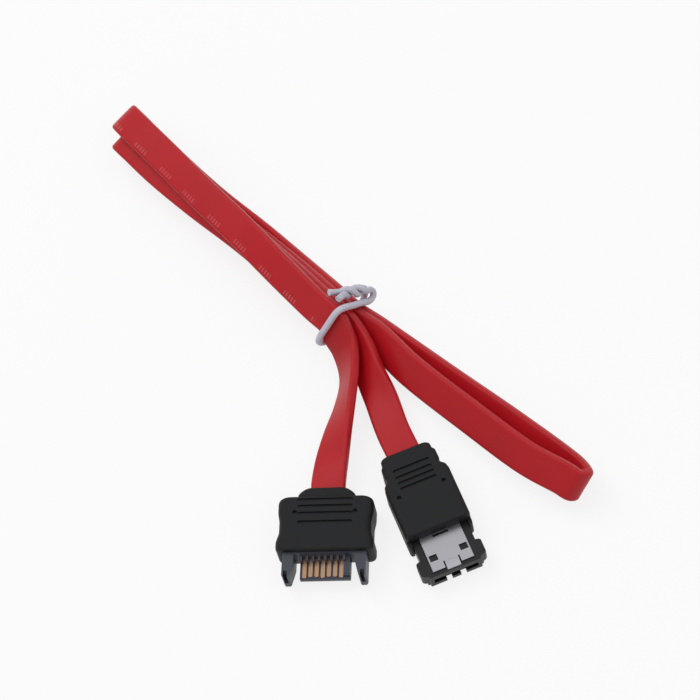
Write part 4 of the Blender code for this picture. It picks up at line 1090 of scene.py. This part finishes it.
class FLATCABLE_OT_contacts(Step, bpy.types.Operator):
    """Builds each plug's row of contacts; the ground contacts reach a little further"""

    bl_idname = "flatcable.contacts"
    bl_label = "Contacts"

    def build(self, scene):
        sizes = scene.plug_sizes
        half, thick, corner = sizes.contact_width / MM / 2, 0.125, 0.3
        for name, prefix, rear, reach, level, shift, place, turn in (
            ("signal_contacts", SIGNAL, SIGNAL_BASE, 9.75, 3.775, CONTACT_SHIFT,
             SIGNAL_PLACE, SIGNAL_TURN),
            ("metal_plug_contacts", METAL, FRAME_REAR, 12.4, 1.675, 0.0, METAL_PLACE, METAL_TURN),
        ):
            mat = moulded_material(
                f"{name}_gold", scene.part_colours.contact, 0.34, fine=2400.0, bump=0.25,
                height=0.00002, tone=0.14, pits=0.0, turn=-turn, metallic=1.0,
                stretch=(3.0, 0.2, 3.0), worn=0.2)
            points = [(-half, 0.0), (half, 0.0), (half, -reach + corner)]
            for k in range(1, 5):
                turned = math.radians(22.5 * k)
                points.append((half - corner + corner * math.cos(turned),
                               -reach + corner - corner * math.sin(turned)))
            points += [(-x, y) for x, y in points[:1:-1]]
            item = break_edges(prism(points, (-thick, thick), name), 0.00004)
            first = (-3 * sizes.contact_pitch + shift * MM, rear * MM, level * MM)
            through_tree(item, row_tree(), {
                "Count": 7, "First": first, "Step": (sizes.contact_pitch, 0.0, 0.0),
                "Longer": 0.02, "Material": mat})
            nodes = [f"{prefix}_contact_{k}" for k in range(1, 8)]
            finished(item, 32, mat, nodes, SMALLEST_FLAT_FACE, place, turn)


class FLATCABLE_OT_inner_parts(Step, bpy.types.Operator):
    """Finishes the joints inside the plugs, whose shapes stay as the frame has them"""

    bl_idname = "flatcable.inner_parts"
    bl_label = "Inner Parts"

    def build(self, scene):
        colours = scene.part_colours
        finishes = {
            "_inner_mould": moulded_material(
                "inner_mould_milky", colours.mould, 0.5, fine=5000.0, bump=0.15, tone=0.08,
                pits=0.3, more={"Subsurface Weight": 0.2, "Subsurface Scale": 0.001}),
            "_signal_wire_": moulded_material(
                "conductor_copper", colours.copper, 0.35, fine=3000.0, tone=0.2, pits=0.0,
                metallic=1.0),
            "_ground_wire_": moulded_material(
                "conductor_tin", colours.tin, 0.4, fine=3000.0, tone=0.1, pits=0.0, metallic=1.0),
        }
        for name, node in frame["nodes"].items():
            for part, mat in finishes.items():
                if part in name:
                    node.data.materials.clear()
                    node.data.materials.append(mat)


# Stage


def seen_rays(nodes):
    """1 for rays that are seen, reflected or let through."""
    rays = nodes.add("ShaderNodeLightPath").outputs
    seen = nodes.math("MAXIMUM", rays["Is Camera Ray"], rays["Is Glossy Ray"])
    return nodes.math("MAXIMUM", seen, rays["Is Transmission Ray"])


def cleared_nodes(owner):
    owner.use_nodes = True
    owner.node_tree.nodes.clear()
    return Nodes(owner.node_tree)


class FLATCABLE_OT_stage(Step, bpy.types.Operator):
    """Sets the pale floor, the soft lamps and the camera"""

    bl_idname = "flatcable.stage"
    bl_label = "Stage"

    def build(self, scene):
        studio = scene.studio_settings
        form = bmesh.new()
        bmesh.ops.create_grid(form, x_segments=1, y_segments=1, size=studio.floor / 2)
        floor = mesh_piece("floor", form)
        pale = bpy.data.materials.new("floor_pale")
        floor.data.materials.append(pale)
        nodes = cleared_nodes(pale)
        tone = nodes.noise(nodes.add("ShaderNodeTexCoord").outputs["Object"], 6.0, 2.0)
        tint = nodes.mix_colour(tone, (0.90, 0.90, 0.90, 1.0), (0.93, 0.93, 0.93, 1.0))
        matt = nodes.add("ShaderNodeBsdfDiffuse", {"Color": tint})
        white = (1.0, 1.0, 1.0, 1.0)
        glow = nodes.add("ShaderNodeEmission", {"Color": white, "Strength": 1.0})
        share = nodes.product(seen_rays(nodes), FLOOR_GLOW)
        nodes.add("ShaderNodeOutputMaterial", {
            "Surface": nodes.add("ShaderNodeMixShader", {0: share, 1: matt, 2: glow})})

        scene.world = bpy.data.worlds.new("studio")
        nodes = cleared_nodes(scene.world)
        soft, bright = (
            nodes.add("ShaderNodeBackground", {"Color": white, "Strength": level})
            for level in (WORLD_LEVEL, 1.0))
        nodes.add("ShaderNodeOutputWorld", {
            "Surface": nodes.add("ShaderNodeMixShader", {0: seen_rays(nodes), 1: soft, 2: bright})})

        for name, place, size, power in LAMPS:
            data = bpy.data.lights.new(name, "AREA")
            data.shape = "RECTANGLE"
            data.size = data.size_y = size
            data.energy = power
            lamp = new_object(name, data)
            lamp.visible_glossy = name != "key"
            lamp.location = place
            lamp.rotation_euler = (CAMERA_AIM - Vector(place)).to_track_quat("-Z", "Y").to_euler()

        data = bpy.data.cameras.new("camera")
        data.sensor_width = 36.0
        data.lens = studio.lens
        camera = new_object("camera", data)
        high, turn, roll = studio.elevation, studio.azimuth, studio.roll
        level = Vector((math.cos(turn), math.sin(turn), 0.0))
        forward = Vector((-math.sin(turn), math.cos(turn), 0.0))
        back = Vector((0.0, 0.0, math.sin(high))) - forward * math.cos(high)
        up = back.cross(level)
        right = level * math.cos(roll) - up * math.sin(roll)
        top = level * math.sin(roll) + up * math.cos(roll)
        camera.matrix_world = Matrix.Translation(CAMERA_AIM + back * studio.distance) @ Matrix(
            (right, top, back)).transposed().to_4x4()
        scene.camera = camera
        scene.view_settings.view_transform = "Standard"


class FLATCABLE_PT_panel(bpy.types.Panel):
    bl_idname = "FLATCABLE_PT_panel"
    bl_label = "Data Cable"
    bl_space_type = "VIEW_3D"
    bl_region_type = "UI"
    bl_category = "Data Cable"

    def draw(self, context):
        for group_name, _ in GROUPS:
            group = getattr(context.scene, group_name)
            box = self.layout.box()
            for name in group.bl_rna.properties.keys():
                if name not in ("rna_type", "name"):
                    box.prop(group, name)
        for operator in OPERATORS:
            self.layout.operator(operator.bl_idname)


OPERATORS = (
    FLATCABLE_OT_stage,
    FLATCABLE_OT_metal_body,
    FLATCABLE_OT_metal_frame,
    FLATCABLE_OT_metal_shell,
    FLATCABLE_OT_signal_body,
    FLATCABLE_OT_signal_insulator,
    FLATCABLE_OT_contacts,
    FLATCABLE_OT_inner_parts,
    FLATCABLE_OT_ribbon,
    FLATCABLE_OT_tie,
)
GROUPS = (
    ("cable_sizes", CableSizes), ("plug_sizes", PlugSizes), ("part_colours", PartColours),
    ("studio_settings", StudioSettings),
)


def register():
    for name, group in GROUPS:
        bpy.utils.register_class(group)
        setattr(bpy.types.Scene, name, bpy.props.PointerProperty(type=group))
    for operator in OPERATORS:
        bpy.utils.register_class(operator)
    bpy.utils.register_class(FLATCABLE_PT_panel)


def unregister():
    bpy.utils.unregister_class(FLATCABLE_PT_panel)
    for operator in reversed(OPERATORS):
        bpy.utils.unregister_class(operator)
    for name, group in reversed(GROUPS):
        delattr(bpy.types.Scene, name)
        bpy.utils.unregister_class(group)


def main():
    register()
    for operator in OPERATORS:
        family, action = operator.bl_idname.split(".")
        getattr(getattr(bpy.ops, family), action)()


if __name__ == "__main__":
    main()
